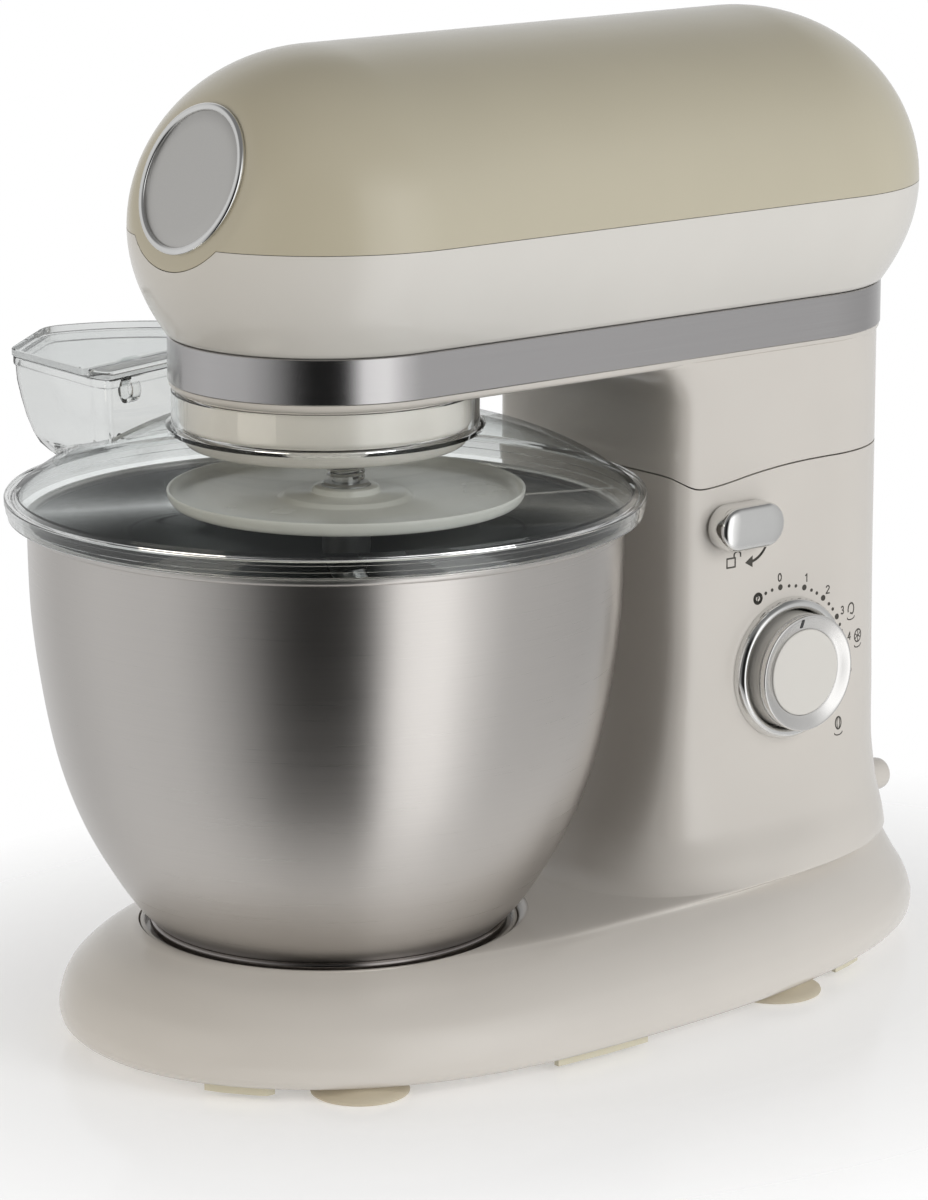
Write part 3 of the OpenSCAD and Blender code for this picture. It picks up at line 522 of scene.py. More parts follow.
def borrow_normals(o, source):
    """Gives o's outer faces the smooth normals of the whole surface that they were cut from."""
    sm = source.data
    sm.calc_loop_triangles()
    pts = [v.co.copy() for v in sm.vertices]
    nrm = [v.normal.copy() for v in sm.vertices]
    tris = [tuple(t.vertices) for t in sm.loop_triangles]
    tree = BVHTree.FromPolygons(pts, tris)
    me = o.data
    out = []
    for poly in me.polygons:
        for li in poly.loop_indices:
            co = me.vertices[me.loops[li].vertex_index].co
            hit, _, index, dist = tree.find_nearest(co)
            value = (0.0, 0.0, 0.0)
            if hit is not None and dist < 5e-5:
                a, b, c = tris[index]
                n = barycentric_transform(hit, pts[a], pts[b], pts[c], nrm[a], nrm[b], nrm[c]).normalized()
                if n.dot(poly.normal) > 0.8:
                    value = tuple(n)
            out.append(value)
    me.normals_split_custom_set(out)


# ---------- the mixer's sizes, in millimetres ----------

HEAD_R, HEAD_LEN, SPLIT, TOP = 73.2, 204.0, 309.4, 376.8
BAND_R, BAND_Z, BAND_TOP = 58.9, 252.4, 269.5
COL_W, COL_REAR = 58.6, 261.0
PIVOT_Y, PIVOT_Z, SEAM_R, SEAM_GAP = 246.0, 190.0, 15.2, 0.6
ORBIT = (22.5 * cos(math.radians(-18)), 22.5 * sin(math.radians(-18)))
CHUTE_Z, CHUTE_A = 251.6, math.radians(195)


def stadium_plan(r, n, m):
    """The head's plan: a half circle at each end and straight sides, with n and m steps."""
    pts = [(-r * cos(pi * i / n), -r * sin(pi * i / n)) for i in range(n + 1)]
    pts += [(r, HEAD_LEN * i / m) for i in range(1, m)]
    pts += [(r * cos(pi * i / n), HEAD_LEN + r * sin(pi * i / n)) for i in range(n + 1)]
    pts += [(-r, HEAD_LEN * (1 - i / m)) for i in range(1, m)]
    return pts


def stadium(profile, n, m):
    """A solid with a stadium plan; profile is a list of [radius, z] going up."""
    return loft([[(x, y, z) for x, y in stadium_plan(max(r, 1e-4), n, m)] for r, z in profile])


def superellipse(w, yf, ym, yr, nf, nr, z, n=192):
    """A closed outline whose front and rear halves have their own lengths and powers, evenly spaced."""
    fine = []
    for i in range(4 * n):
        a = 2 * pi * (i + 0.5) / (4 * n)
        s, c = sin(a), cos(a)
        p = nf if c > 0 else nr
        x = w * math.copysign(abs(s) ** (2 / p), s)
        d = abs(c) ** (2 / p)
        fine.append((x, ym - (ym - yf) * d if c > 0 else ym + (yr - ym) * d))
    run = [0.0]
    for i in range(len(fine)):
        a, b = fine[i], fine[(i + 1) % len(fine)]
        run.append(run[-1] + math.hypot(b[0] - a[0], b[1] - a[1]))
    out, j = [], 0
    for i in range(n):
        want = run[-1] * i / n
        while run[j + 1] < want:
            j += 1
        t = (want - run[j]) / (run[j + 1] - run[j])
        a, b = fine[j % len(fine)], fine[(j + 1) % len(fine)]
        out.append((a[0] + (b[0] - a[0]) * t, a[1] + (b[1] - a[1]) * t, z))
    return out


COLUMN = [
    # z, half-width, front, middle, rear, front power, rear power
    (6.2, 105, -102, 34, 280, 2.08, 2.2), (9, 107.2, -104.5, 34, 282.3, 2.08, 2.2),
    (14, 108, -105.5, 35, 283, 2.08, 2.2), (20, 107.2, -104.4, 36, 281.5, 2.08, 2.2),
    (26, 104.6, -101.6, 38, 278.7, 2.1, 2.2), (32, 99.8, -96.3, 42, 275, 2.12, 2.2),
    (38, 92.5, -88.5, 48, 272.3, 2.15, 2.2), (42, 85, -78.5, 60, 270.7, 2.2, 2.2),
    (43.6, 81.5, -73.5, 75, 270.1, 2.3, 2.2), (46, 79, 88, 150, 269.3, 3, 2.1),
    (54, 74, 103, 170, 267.5, 3.8, 2.05), (66, 66.5, 113, 185, 265.5, 5.2, 2), (85, 61.4, 120.5, 195, 263, 8, 2),
    (110, 59.2, 125, 203, 261.6, 11, 2), (140, 58.8, 127, 203, 261.1, 12, 2), (170, 58.6, 127, 203, 261, 12, 2),
    (216, 58.6, 127, 203, 261, 12, 2)]


def column_at(z):
    return [curve_through([(k[0], k[i]) for k in COLUMN], z) for i in range(1, 7)]


def spread(a, b, n):
    """n even steps from a, short of b."""
    return [a + (b - a) * i / n for i in range(n)]


def side_prism(pts):
    """A solid with a side outline of (y, z) points, right across the mixer."""
    return loft([[(x, y, z) for y, z in pts] for x in (-100, 100)])


def seam_line(dz, r):
    """The side view's line between column and neck: dz lower, and with radius r round the pivot."""
    pts = smooth_profile([(96, 206 - dz), (124, 206 - dz), (127, 205.9 - dz), (130, 203.6 - dz), (134, 201.4 - dz),
                          (139, 200.8 - dz), (150, 201.9 - dz), (165, 204 - dz), (182, 205.5 - dz),
                          (200, 206.0 - dz), (222, 205.7 - dz), (238, 205.3 - dz)], 5)
    pts += [(PIVOT_Y + r * sin(math.radians(a)), PIVOT_Z + r * cos(math.radians(a))) for a in range(5, 71, 5)]
    return pts + [(PIVOT_Y + 40, PIVOT_Z + r * cos(math.radians(70)))]


# ---------- base and column ----------

low = spread(6.2, 14, 8) + spread(14, 42, 22) + spread(42, 43.6, 4) + spread(43.6, 46, 36) + spread(46, 66, 18)
low += spread(66, 110, 16) + spread(110, 216, 14) + [216]
column = loft([superellipse(*column_at(z), z) for z in low])
body = piece("base_shell", *column, "cream_gloss", "base", replaces=["base_housing"])
whole = duplicate(body)
carve(body, solid(*side_prism(seam_line(SEAM_GAP, SEAM_R - SEAM_GAP) + [(PIVOT_Y + 40, 240), (96, 240)])))
carve(body, solid(*loft([superellipse(56, 129.6, 203, 258.4, 11, 2, z) for z in (120, 220)])))
pit = [(0.001, 20), (72.5, 20), (72.5, 42.6), (72.8, 43.6), (73.5, 44.4), (74.6, 44.9), (76.5, 45.2), (76.5, 60),
       (0.001, 60)]
carve(body, solid(*lathe(pit, 160)))
TO_SIDE = Matrix.Rotation(pi / 2, 4, "Y")
DIAL_Y, DIAL_Z = 182.5, 123.5
AT_DIAL = Matrix.Translation((0, DIAL_Y, DIAL_Z)) @ TO_SIDE
AT_LEVER = Matrix.Translation((0, 158.7, 185)) @ TO_SIDE
carve(body, solid(*lathe([(0.001, 50), (24.2, 50), (24.2, 70), (0.001, 70)], 96, axis=AT_DIAL)))
finish_piece(body, "cream_gloss", None)
borrow_normals(body, whole)
drop(whole)

seat = [(0.001, 36.5), (72.3, 36.5), (72.3, 42.4), (72.0, 43.0), (71.2, 43.2), (70.4, 42.9), (70.2, 42.4),
        (70.2, 40.2), (0.001, 40.2)]
LUG = [(58.2, 40.1), (62.6, 40.1), (62.6, 43.0), (62.2, 43.4), (58.6, 43.4), (58.2, 43.0)]
LUG_TURNS, LUG_SPAN, LUG_STEPS = (30, 150, 270), 16, 10
lugs = []
for start in LUG_TURNS:
    turns = [math.radians(start) + math.radians(LUG_SPAN) * i / LUG_STEPS for i in range(LUG_STEPS + 1)]
    lugs.append(loft([[(r * cos(a), r * sin(a), z) for r, z in LUG] for a in turns]))
piece("seat_plate", *joined(lathe(seat, 160), *lugs), "cream_gloss", "base", replaces=["bowl_seat"])

foot = [(0.001, 3), (8.6, 3), (10.4, 2.2), (12.6, 0.2), (13.4, 0), (17.6, 0), (18.3, 0.4), (18.5, 1.0),
        (18.2, 1.7), (16.4, 2.8), (14, 4.2), (12.4, 5.4), (11.4, 6.2), (0.001, 6.2)]
FEET = ((-71.6, -40.7), (71.6, -40.7), (-78, 160), (78, 160))
feet = [lathe(foot, 64, axis=Matrix.Translation((x, y, 0))) for x, y in FEET]
piece("rubber_feet", *joined(*feet), "foot_rubber", "base", replaces=["suction_feet"])

gland = smooth_profile([(3.6, 256), (11, 256), (11, 263.4), (10.4, 264), (7.9, 265.2), (7.7, 270), (7.3, 282),
                        (6.6, 289), (5.6, 291.2), (4.4, 291.5), (3.6, 290.8)], 3)
piece("cord_inlet", *lathe(gland, 48, axis=Matrix.Translation((0, 0, 50)) @ Matrix.Rotation(-pi / 2, 4, "X")),
      "cream_gloss", "base", "cream_under", ["cord_gland"])

# ---------- dial and lever ----------

bezel = smooth_profile([(23.6, 56.4), (24.0, 57.0), (28.2, 57.6), (28.45, 58.6), (28.2, 60.4), (27.5, 61.9),
                        (26.4, 62.9), (25.3, 63.1), (24.5, 62.7), (24.1, 61.8), (23.9, 60.4), (23.6, 58.6)], 5)
piece("dial_ring", *lathe(bezel, 128, axis=AT_DIAL), "chrome_trim", "base", replaces=["dial_bezel"])
knob_side = smooth_profile([(22.85, 57.5), (23.0, 58.4), (23.05, 61), (23.05, 64), (23.05, 66.9), (22.9, 67.3)], 3)
knob = [(0.001, 57.2), (22.6, 57.2)] + knob_side + [(22.3, 67.4), (0.001, 67.4)]
# The knob and its cap take the lighter cream copy: painted light.
piece("dial_knob", *lathe(knob, 128, axis=AT_DIAL), "cream_light", "knob", "cream_gloss", ["speed_knob"])
dish_face = smooth_profile([(22.6, 67.3), (22.95, 67.6), (23.1, 68.2), (23.2, 69.4), (23.25, 70.2), (23.1, 70.7),
                            (22.6, 70.95), (21.8, 70.75), (20.4, 70.1), (18.9, 69.35), (17.9, 68.9), (17.4, 68.8),
                            (17.3, 68.6)], 4)
dish = [(16.6, 67.3)] + dish_face + [(17.3, 68.0), (16.6, 68.0)]
piece("dial_dish", *lathe(dish, 128, axis=AT_DIAL), "knob_satin", "knob", "chrome_trim", ["speed_knob"])
cap_top = smooth_profile([(17.15, 68.8), (16.9, 69.2), (15.9, 69.4), (12, 69.6), (6, 69.7), (0.001, 69.75)], 4)
cap = [(0.001, 67.3), (16.5, 67.3), (16.5, 67.9), (17.1, 67.9)] + cap_top
piece("dial_cap", *lathe(cap, 128, axis=AT_DIAL), "cream_light", "knob", "cream_gloss", ["knob_cap"])
mark = rounded([(-2.0, -0.75), (2.0, -0.75), (2.0, 0.75), (-2.0, 0.75)], 0.35)
AT_MARK = (AT_DIAL @ Matrix.Rotation(math.radians(8), 4, "Z") @ Matrix.Translation((-20.2, 0, 70.0))
           @ Matrix.Rotation(math.radians(25), 4, "Y"))
piece("dial_pointer", *prism(mark, -0.5, 0.12, AT_MARK), "black_plastic", "knob", "black_plastic")


LEVER_R, LEVER_LOW, LEVER_HIGH = 8.8, -10.6, 4.0
LEVER_EDGE = ((0.7, 59.0), (0.15, 59.3), (0, 60.0), (0, 64), (0, 66.4), (0.12, 67.2), (0.5, 68.0), (1.1, 68.6),
              (2.2, 69.15), (3.8, 69.6), (5.8, 69.9), (7.8, 70.0))


def pill_row(inset, z):
    """The lever's long rounded outline, drawn in by inset."""
    pts = []
    for y, start in ((LEVER_LOW, pi), (LEVER_HIGH, 0)):
        for i in range(25):
            a = pi * i / 24 + start
            pts.append(AT_LEVER @ Vector(((LEVER_R - inset) * cos(a), y + (LEVER_R - inset) * sin(a), z)))
    return pts


lever = loft([pill_row(inset, z) for inset, z in LEVER_EDGE])
piece("lever_button", *lever, "chrome_trim", "lever", replaces=["release_lever"])
stem = lathe([(0.001, 42), (4, 42), (4, 59.2), (0.001, 59.2)], 40, axis=AT_LEVER)
piece("lever_stem", *stem, "machined_steel", "lever", "chrome_trim")


# ---------- printed marks on the column ----------

def skin_x(y, z):
    """Outer face of the column's dial side."""
    w, yf, ym, yr, nf, nr = column_at(z)
    d = (ym - y) / (ym - yf) if y < ym else (y - ym) / (yr - ym)
    p = nf if y < ym else nr
    return w * max(0.0, 1 - min(1, abs(d)) ** p) ** (1 / p)


print_v, print_f = [], []


def stamp(points):
    """A thin printed patch; points are (y, z) round it, anticlockwise seen from the dial side."""
    n0, n = len(print_v), len(points)
    for lift in (-0.15, 0.06):
        print_v.extend((skin_x(y, z) + lift, y, z) for y, z in points)
    print_f.append(tuple(n0 + n + i for i in range(n)))
    print_f.append(tuple(n0 + i for i in reversed(range(n))))
    for i in range(n):
        k = (i + 1) % n
        print_f.append((n0 + i, n0 + k, n0 + n + k, n0 + n + i))


def dot(y, z, r, n=14):
    stamp([(y + r * cos(2 * pi * i / n), z + r * sin(2 * pi * i / n)) for i in range(n)])


def stroke(points, width):
    """A printed line along (y, z) points."""
    for a, b in zip(points, points[1:]):
        d = Vector((b[0] - a[0], b[1] - a[1]))
        if d.length < 1e-6:
            continue
        d.normalize()
        s = Vector((-d[1], d[0])) * width / 2
        e = d * width * 0.35
        stamp([(a[0] - e[0] - s[0], a[1] - e[1] - s[1]), (b[0] + e[0] - s[0], b[1] + e[1] - s[1]),
               (b[0] + e[0] + s[0], b[1] + e[1] + s[1]), (a[0] - e[0] + s[0], a[1] - e[1] + s[1])])


def arc(cy, cz, ry, rz, a0, a1, n=12):
    turns = [math.radians(a0 + (a1 - a0) * i / n) for i in range(n + 1)]
    return [(cy + ry * cos(a), cz + rz * sin(a)) for a in turns]


DIGITS = {
    "0": [arc(0, 0, 0.62, 1.15, 0, 360, 16)],
    "1": [[(-0.45, 0.7), (0.1, 1.15), (0.1, -1.15)]],
    "2": [arc(0, 0.55, 0.62, 0.6, 160, -40, 8) + [(-0.65, -1.15), (0.7, -1.15)]],
    "3": [arc(0, 0.58, 0.55, 0.57, 150, -90, 8), arc(0, -0.55, 0.64, 0.6, 90, -150, 8)],
    "4": [[(0.35, -1.15), (0.35, 1.15), (-0.7, -0.45), (0.75, -0.45)]],
    "5": [[(0.55, 1.15), (-0.45, 1.15), (-0.5, 0.15)] + arc(-0.02, -0.4, 0.64, 0.7, 125, -140, 9)],
}


DIGIT_SIZE, DOT_RING, DIGIT_RING = 1.3, 32.9, 36.9
SCALE_FORWARD, SCALE_SLOPE = 1.2, 0.05


def digit(text, y, z):
    for line in DIGITS[text]:
        stroke([(y + DIGIT_SIZE * a, z + DIGIT_SIZE * b) for a, b in line], 0.4 * DIGIT_SIZE)


def on_dial(radius, degrees):
    a = math.radians(degrees)
    y, z = radius * sin(a), radius * cos(a)
    return DIAL_Y - SCALE_FORWARD + y, DIAL_Z + z - SCALE_SLOPE * y


marks = [(-27, None), (-5.5, "0"), (17, "1"), (37, "2"), (57, "3"), (76, "4"), (97, "5"), (117, None)]
for deg, text in marks[1:]:
    dot(*on_dial(DOT_RING, deg), 1.2)
    if text:
        digit(text, *on_dial(DIGIT_RING, deg))
for (a, _), (b, _) in zip(marks, marks[1:]):
    for t in (0.36, 0.64):
        dot(*on_dial(DOT_RING, a + (b - a) * t), 0.72, 10)
y, z = on_dial(DOT_RING, marks[0][0])
stroke(arc(y, z, 1.75, 1.75, 0, 360, 20), 1.3)
stroke([(y - 0.35, z - 0.95), (y - 0.35, z + 0.8)] + arc(y - 0.2, z + 0.38, 0.62, 0.45, 90, -90, 6), 0.36)
# hook, beater and whisk signs, each over a bowl line
y, z = on_dial(41.6, 62.5)
stroke(arc(y, z + 0.6, 2.1, 2.4, 200, -60, 12) + [(y - 0.4, z - 1.0)], 0.66)
stroke(arc(y, z - 2.7, 2.6, 1.0, 180, 360, 8), 0.45)
y, z = on_dial(43.2, 79.5)
stroke(arc(y, z + 0.3, 2.7, 2.5, 0, 360, 18), 0.6)
stroke([(y, z + 2.7), (y, z - 2.1)], 0.45)
stroke([(y - 2.1, z + 1.3), (y, z), (y + 2.1, z + 1.3)], 0.45)
stroke([(y - 2.3, z - 0.8), (y, z + 0.4), (y + 2.3, z - 0.8)], 0.45)
stroke(arc(y, z - 3.4, 2.7, 1.0, 180, 360, 8), 0.45)
y, z = on_dial(38.6, 132)
stroke(arc(y, z + 0.4, 1.8, 2.5, 0, 360, 18), 0.55)
stroke(arc(y, z + 0.4, 0.8, 2.5, 0, 360, 14), 0.4)
stroke(arc(y, z - 3.5, 2.5, 1.0, 180, 360, 8), 0.45)
# open padlock and the lever's arrow
stroke([(150.0, 168.0), (154.2, 168.0), (154.2, 171.6), (150.0, 171.6), (150.0, 168.0)], 0.65)
stroke([(153.6, 171.6), (153.6, 172.5)] + arc(155.3, 172.6, 1.7, 1.3, 180, 0, 10) + [(157.0, 171.8)], 0.6)
stroke(arc(160.4, 178.4, 10.8, 9.8, -8, -74, 14), 1.1)
stamp([(159.4, 168.8), (163.3, 166.6), (163.3, 171.3)])
piece("scale_print", print_v, print_f, "print_grey", "base", "grey_plastic", sharp=20)

# ---------- bowl ----------

side = [(67, 45), (72.1, 50), (77.5, 57), (82.7, 65), (88.6, 75), (93.6, 85), (98.4, 97), (102.4, 110),
        (105.7, 125), (108.2, 140), (110.2, 155), (111.5, 170), (112, 189), (112, 198.2)]
outer = smooth_profile(side, 4)
lip = [(112.2 + 1.55 * cos(math.radians(a)), 199.5 + 1.65 * sin(math.radians(a))) for a in range(-120, 181, 20)]
inner = [(r - 0.9, z + (0.5 if z < 60 else 0)) for r, z in reversed(outer)]
bowl_prof = [(0.001, 44.9), (40, 44.9), (60, 44.9), (65, 44.95)] + outer + lip + inner
bowl_prof += [(64, 46.0), (40, 46.0), (0.001, 46.0)]
bowl = piece("bowl_shell", *lathe(bowl_prof, 200), "bowl_steel", "mixing_bowl", replaces=["bowl"])
bowl.data.materials.append(M["bowl_steel_painted_shade"])
# The inside wall and the inner floor take the darker steel copy: painted shade inside the bowl.
for poly in bowl.data.polygons:
    at = poly.center
    faces_in = at.z < 0.198 and poly.normal.dot(Vector((at.x, at.y, 0))) < 0
    on_floor = at.z < 0.0465 and poly.normal.z > 0.5
    if faces_in or on_floor:
        poly.material_index = 1
ring = smooth_profile([(64.2, 40.7), (67.4, 40.7), (68.1, 41.1), (68.3, 41.9), (68.3, 43.4), (68.1, 44.3),
                       (67.4, 44.85)], 3) + [(63.3, 44.85), (63.3, 43.9), (64.2, 43.9)]
piece("bowl_foot_ring", *lathe(ring, 160), "foot_steel", "mixing_bowl", replaces=["bowl_foot"])

# ---------- head shells ----------

TILT = math.radians(21.7)
FACE_AT = Vector((0, -60, 332))
FACE = Vector((0, -cos(TILT), sin(TILT)))
BADGE = Matrix.Translation(FACE_AT) @ Matrix.Rotation(pi / 2 - TILT, 4, "X")


def belly_r(z):
    """The lower shell's radius, which draws in from the split line to the band."""
    u = (SPLIT - z) / (SPLIT - BAND_TOP)
    return HEAD_R - (HEAD_R - BAND_R) * u * u


prof = [(0, BAND_TOP + 0.05), (30, BAND_TOP + 0.05), (BAND_R - 0.9, BAND_TOP + 0.05)]
prof += [(belly_r(z), z) for z in [BAND_TOP + 0.8] + spread(BAND_TOP + 2.4, SPLIT, 14)]
prof += [(HEAD_R * cos(pi / 2 * i / 30), SPLIT + (TOP - SPLIT) * sin(pi / 2 * i / 30)) for i in range(30)]
prof += [(0.0, TOP)]
hv, hf = stadium(prof, 72, 44)


def flatten(p):
    """Presses the nose flat where it stands out past the badge's plane, with a soft edge."""
    p = Vector(p)
    d = (p - FACE_AT).dot(FACE)
    soft = 1.6
    k = 0.5 * (d + math.sqrt(d * d + soft * soft))
    if p.y > -20:
        return p
    fade = min(1.0, (-20 - p.y) / 25)
    return p - FACE * k * fade


head = solid([flatten(p) for p in hv], hf)


def head_cutter(grow, z):
    """All above the split line, and the round seat of the nose disc."""
    r = 34.5 + grow
    nose = solid(*lathe([(0.001, -40), (r, -40), (r, 40), (0.001, 40)], 128, axis=BADGE))
    above = prism([(-120, -120), (120, -120), (120, 320), (-120, 320)], z, 420)
    return carve(nose, solid(*above), "UNION")


def part_of_head(name, tool, how, mat, node):
    o = duplicate(head)
    o.name = name
    carve(o, tool, how)
    o.data.name = name
    finish_piece(o, mat, "head", [node])
    borrow_normals(o, head)


SPLIT_GAP = 0.12
part_of_head("top_shell", head_cutter(0.0, SPLIT + SPLIT_GAP), "INTERSECT", "champagne_gloss", "head_top_cover")
# The lower shell takes the lighter cream copy: painted light.
part_of_head("lower_shell", head_cutter(0.3, SPLIT - SPLIT_GAP), "DIFFERENCE", "cream_light", "head_lower_shell")
drop(head)

badge_ring = smooth_profile([(25.9, -0.2), (25.9, 0.9), (26.3, 1.5), (27.1, 1.75), (28.0, 1.6), (28.6, 1.0),
                             (28.75, 0.2), (28.7, -0.3)], 4)
piece("nose_ring", *lathe(badge_ring, 128, axis=BADGE), "chrome_trim", "head", replaces=["badge_ring"])
disc = [(0.001, -0.3), (25.85, -0.3), (25.85, 0.35), (25.4, 0.6), (20, 0.75), (10, 0.85), (0.001, 0.9)]
piece("nose_disc", *lathe(disc, 128, axis=BADGE), "satin_silver", "head", replaces=["badge_disc"])

band = [(BAND_R - 1.2, BAND_Z), (BAND_R - 0.35, BAND_Z), (BAND_R, BAND_Z + 0.35), (BAND_R, BAND_TOP - 0.45),
        (BAND_R - 0.35, BAND_TOP - 0.1), (BAND_R - 1.2, BAND_TOP - 0.1)]
rows = [[(x, y, z) for x, y in stadium_plan(r, 72, 40)] for r, z in band]
rows.append(rows[0])
piece("steel_band", *loft(rows, False), "brushed_band", "head", replaces=["trim_band"])

# the neck's front face by height: it curves forward under the head
NECK = [(188, 127), (228, 127), (233, 126.9), (237, 126.2), (241, 124.6), (244.5, 121.8), (247, 118.4),
        (248.8, 114.4), (249.6, 111)]
neck_z = spread(188, 228, 6) + spread(228, 249.6, 22) + [249.6, 250.6]


def neck_row(z):
    return superellipse(COL_W - 0.1, curve_through(NECK, z), 203, COL_REAR, 12, 2, z)


neck = piece("neck_shell", *loft([neck_row(z) for z in neck_z]), "cream_gloss", "head", replaces=["arm_housing"])
whole = duplicate(neck)
carve(neck, solid(*side_prism(seam_line(0, SEAM_R) + [(PIVOT_Y + 40, 150), (96, 150)])))
carve(neck, solid(*loft([superellipse(COL_W - 2.7, 129.6, 203, 258.3, 11, 2, z) for z in (180, 246)])))
tray = [(0, 249.3), (48, 249.3), (BAND_R - 2.4, 249.3), (BAND_R - 1.1, 249.9), (BAND_R - 0.5, 251),
        (BAND_R - 0.4, 252.3), (0, 252.3)]
carve(neck, solid(*stadium(tray, 60, 30)), "UNION")
carve(neck, solid(*lathe([(0.001, 240), (50.2, 240), (50.2, 260), (0.001, 260)], 96)))
finish_piece(neck, "cream_gloss", None)
borrow_normals(neck, whole)
drop(whole)

# ---------- hub, carrier and tool ----------

hub = [(39.6, 234.6)] + smooth_profile([(50.6, 234.6), (52.6, 235.0), (53.9, 236.0), (54.5, 237.4)], 4)
hub += [(54.5, 249.1), (50.1, 249.1), (50.1, 252.2), (9.2, 252.2), (9.2, 247), (39.6, 247)]
piece("hub_ring", *lathe(hub, 144), "cream_gloss", "head", replaces=["hub_housing"])

carrier = [(0.001, 227.4), (46, 227.4)]
carrier += smooth_profile([(49.6, 227.5), (51.8, 228.0), (53.0, 229.2), (53.4, 230.8)], 4)
carrier += [(53.4, 233.6), (53.0, 234.0), (36, 234.0), (36, 231.4), (0.001, 231.4)]
plate_disc = piece("carrier_disc", *lathe(carrier, 144), "cream_gloss", "carrier", replaces=["planet_carrier"])
AT_TOOL = Matrix.Translation((ORBIT[0], ORBIT[1], 0))
carve(plate_disc, solid(*lathe([(0.001, 220), (5.2, 220), (5.2, 240), (0.001, 240)], 40, axis=AT_TOOL)))
finish_piece(plate_disc, "cream_gloss", None)

guard = [(9.2, 209.5), (60, 209.5)] + smooth_profile([(62.5, 209.6), (64.6, 210.2), (65.8, 211.6), (66.4, 213.4),
                                                      (66.5, 214.7), (66.1, 215.1), (65.5, 214.8), (65.0, 213.2),
                                                      (64.0, 211.9), (62.4, 211.35)], 4)
guard += [(26, 211.3), (24.6, 211.6), (23.6, 212.6), (22.4, 212.9), (13.6, 212.9), (12.8, 213.4), (12.2, 215.4),
          (11.4, 215.9), (9.2, 215.9)]
piece("guard_disc", *lathe(guard, 144, axis=AT_TOOL), "guard_white", "tool", replaces=["dough_guard"])


def tube(path, radii, n=20):
    """A round bar along path points, with a radius at each."""
    rows = []
    up = Vector((0.3, 0.2, 1)).normalized()
    last = None
    for i, p in enumerate(path):
        a, b = path[max(i - 1, 0)], path[min(i + 1, len(path) - 1)]
        t = (Vector(b) - Vector(a)).normalized()
        across = t.cross(up) if last is None else last - t * last.dot(t)
        across.normalize()
        last = across
        other = t.cross(across)
        turns = [2 * pi * k / n for k in range(n)]
        rows.append([Vector(p) + (across * cos(a) + other * sin(a)) * radii[i] for a in turns])
    return loft(rows)


# The hook's bar winds down below the shaft, swings out in its middle and ends in a rounded tip.
HOOK_TOP, HOOK_DROP, HOOK_TURN, HOOK_SWING, HOOK_R, HOOK_STEPS = 186, 122, 330, 42, 5.6, 150
TIP_FROM = 0.93
path, radii = [], []
for i in range(HOOK_STEPS + 1):
    t = i / HOOK_STEPS
    a = math.radians(HOOK_TURN * t)
    r = HOOK_SWING * sin(pi * t**0.85) * (0.35 + 0.65 * t) + 3 * t
    path.append((ORBIT[0] + r * cos(a), ORBIT[1] + r * sin(a), HOOK_TOP - HOOK_DROP * t**0.9))
    tip = math.sqrt(max(0.0, 1 - ((t - TIP_FROM) / (1 - TIP_FROM)) ** 2)) if t > TIP_FROM else 1
    radii.append(HOOK_R * tip * (1 - 0.12 * t) + 0.15)
boss = [(5.2, 190), (5.2, 217.1), (8.2, 217.1), (9.0, 216.4), (9.0, 192), (8.4, 188.5), (6.6, 184.2), (5.4, 181),
        (0.001, 180.6), (0.001, 190)]
hook = joined(tube(path, radii), lathe(boss, 64, axis=AT_TOOL))
piece("kneading_hook", *hook, "hook_cast", "tool", replaces=["dough_hook"])

shaft = lathe([(0.001, 196.8), (4.2, 196.8), (5, 197.6), (5, 245.8), (0.001, 245.8)], 48, axis=AT_TOOL)
pin_at = Matrix.Translation((ORBIT[0], ORBIT[1], 201)) @ TO_SIDE
pin = lathe([(0.001, -8), (1.1, -8), (1.4, -7.7), (1.4, 7.7), (1.1, 8), (0.001, 8)], 20, axis=pin_at)
piece("tool_shaft", *joined(shaft, pin), "machined_steel", "planet", replaces=["output_shaft"])

# ---------- splash guard ----------

# The chute's outline in its own frame: u points out from the bowl's middle, v along the bowl's edge.
CHUTE = [(62.5, 50.8), (70, 51), (125, 33), (146, -11), (136, -29), (121, -45), (96, -56), (62.5, -56)]
CORNERS = [3.5, 6, 4, 8, 16, 16, 14, 2]
CHUTE_U = 62


def grown(points, t):
    """Moves a convex polygon's sides out by t."""
    n = len(points)
    cx, cy = sum(p[0] for p in points) / n, sum(p[1] for p in points) / n
    out = []
    for i in range(n):
        p, a, b = Vector(points[i]), Vector(points[i - 1]), Vector(points[(i + 1) % n])
        d1, d2 = (p - a).normalized(), (b - p).normalized()
        n1, n2 = Vector((d1.y, -d1.x)), Vector((d2.y, -d2.x))
        c = Vector((cx, cy))
        if n1.dot(p - c) < 0:
            n1 = -n1
        if n2.dot(p - c) < 0:
            n2 = -n2
        bis = (n1 + n2).normalized()
        out.append(tuple(p + bis * (t / max(0.4, bis.dot(n1)))))
    return out


def chute_ring(t, z, su=1.0, sv=1.0):
    """The chute's outline at height z, grown by t and shrunk toward the hub by su and sv."""
    pts = rounded(grown(CHUTE, t), [max(1, c + t) for c in CORNERS], 6)
    ca, sa = cos(CHUTE_A), sin(CHUTE_A)
    out = []
    for u, v in pts:
        u, v = CHUTE_U + (u - CHUTE_U) * su, v * sv
        out.append((ca * u - sa * v, sa * u + ca * v, z))
    return out


# height, and how much of the chute's length and width there is at that height
FLARE = [(203, 0.30, 0.88), (208.5, 0.44, 0.92), (211.5, 0.56, 0.945), (214.5, 0.67, 0.96), (217, 0.76, 0.97),
         (219.5, 0.83, 0.975), (223, 0.875, 0.98), (229, 0.925, 0.987), (236, 0.965, 0.993), (242.6, 0.992, 1.0)]


def funnel(t, top):
    """The chute as a solid whose wall is t inside the outline."""
    rows = [chute_ring(-t, z + (0.7 * t if 0.4 < su < 0.87 else 0), su, sv) for z, su, sv in FLARE]
    for grow, z in top:
        rows.append(chute_ring(grow - t, z))
    return loft(rows)


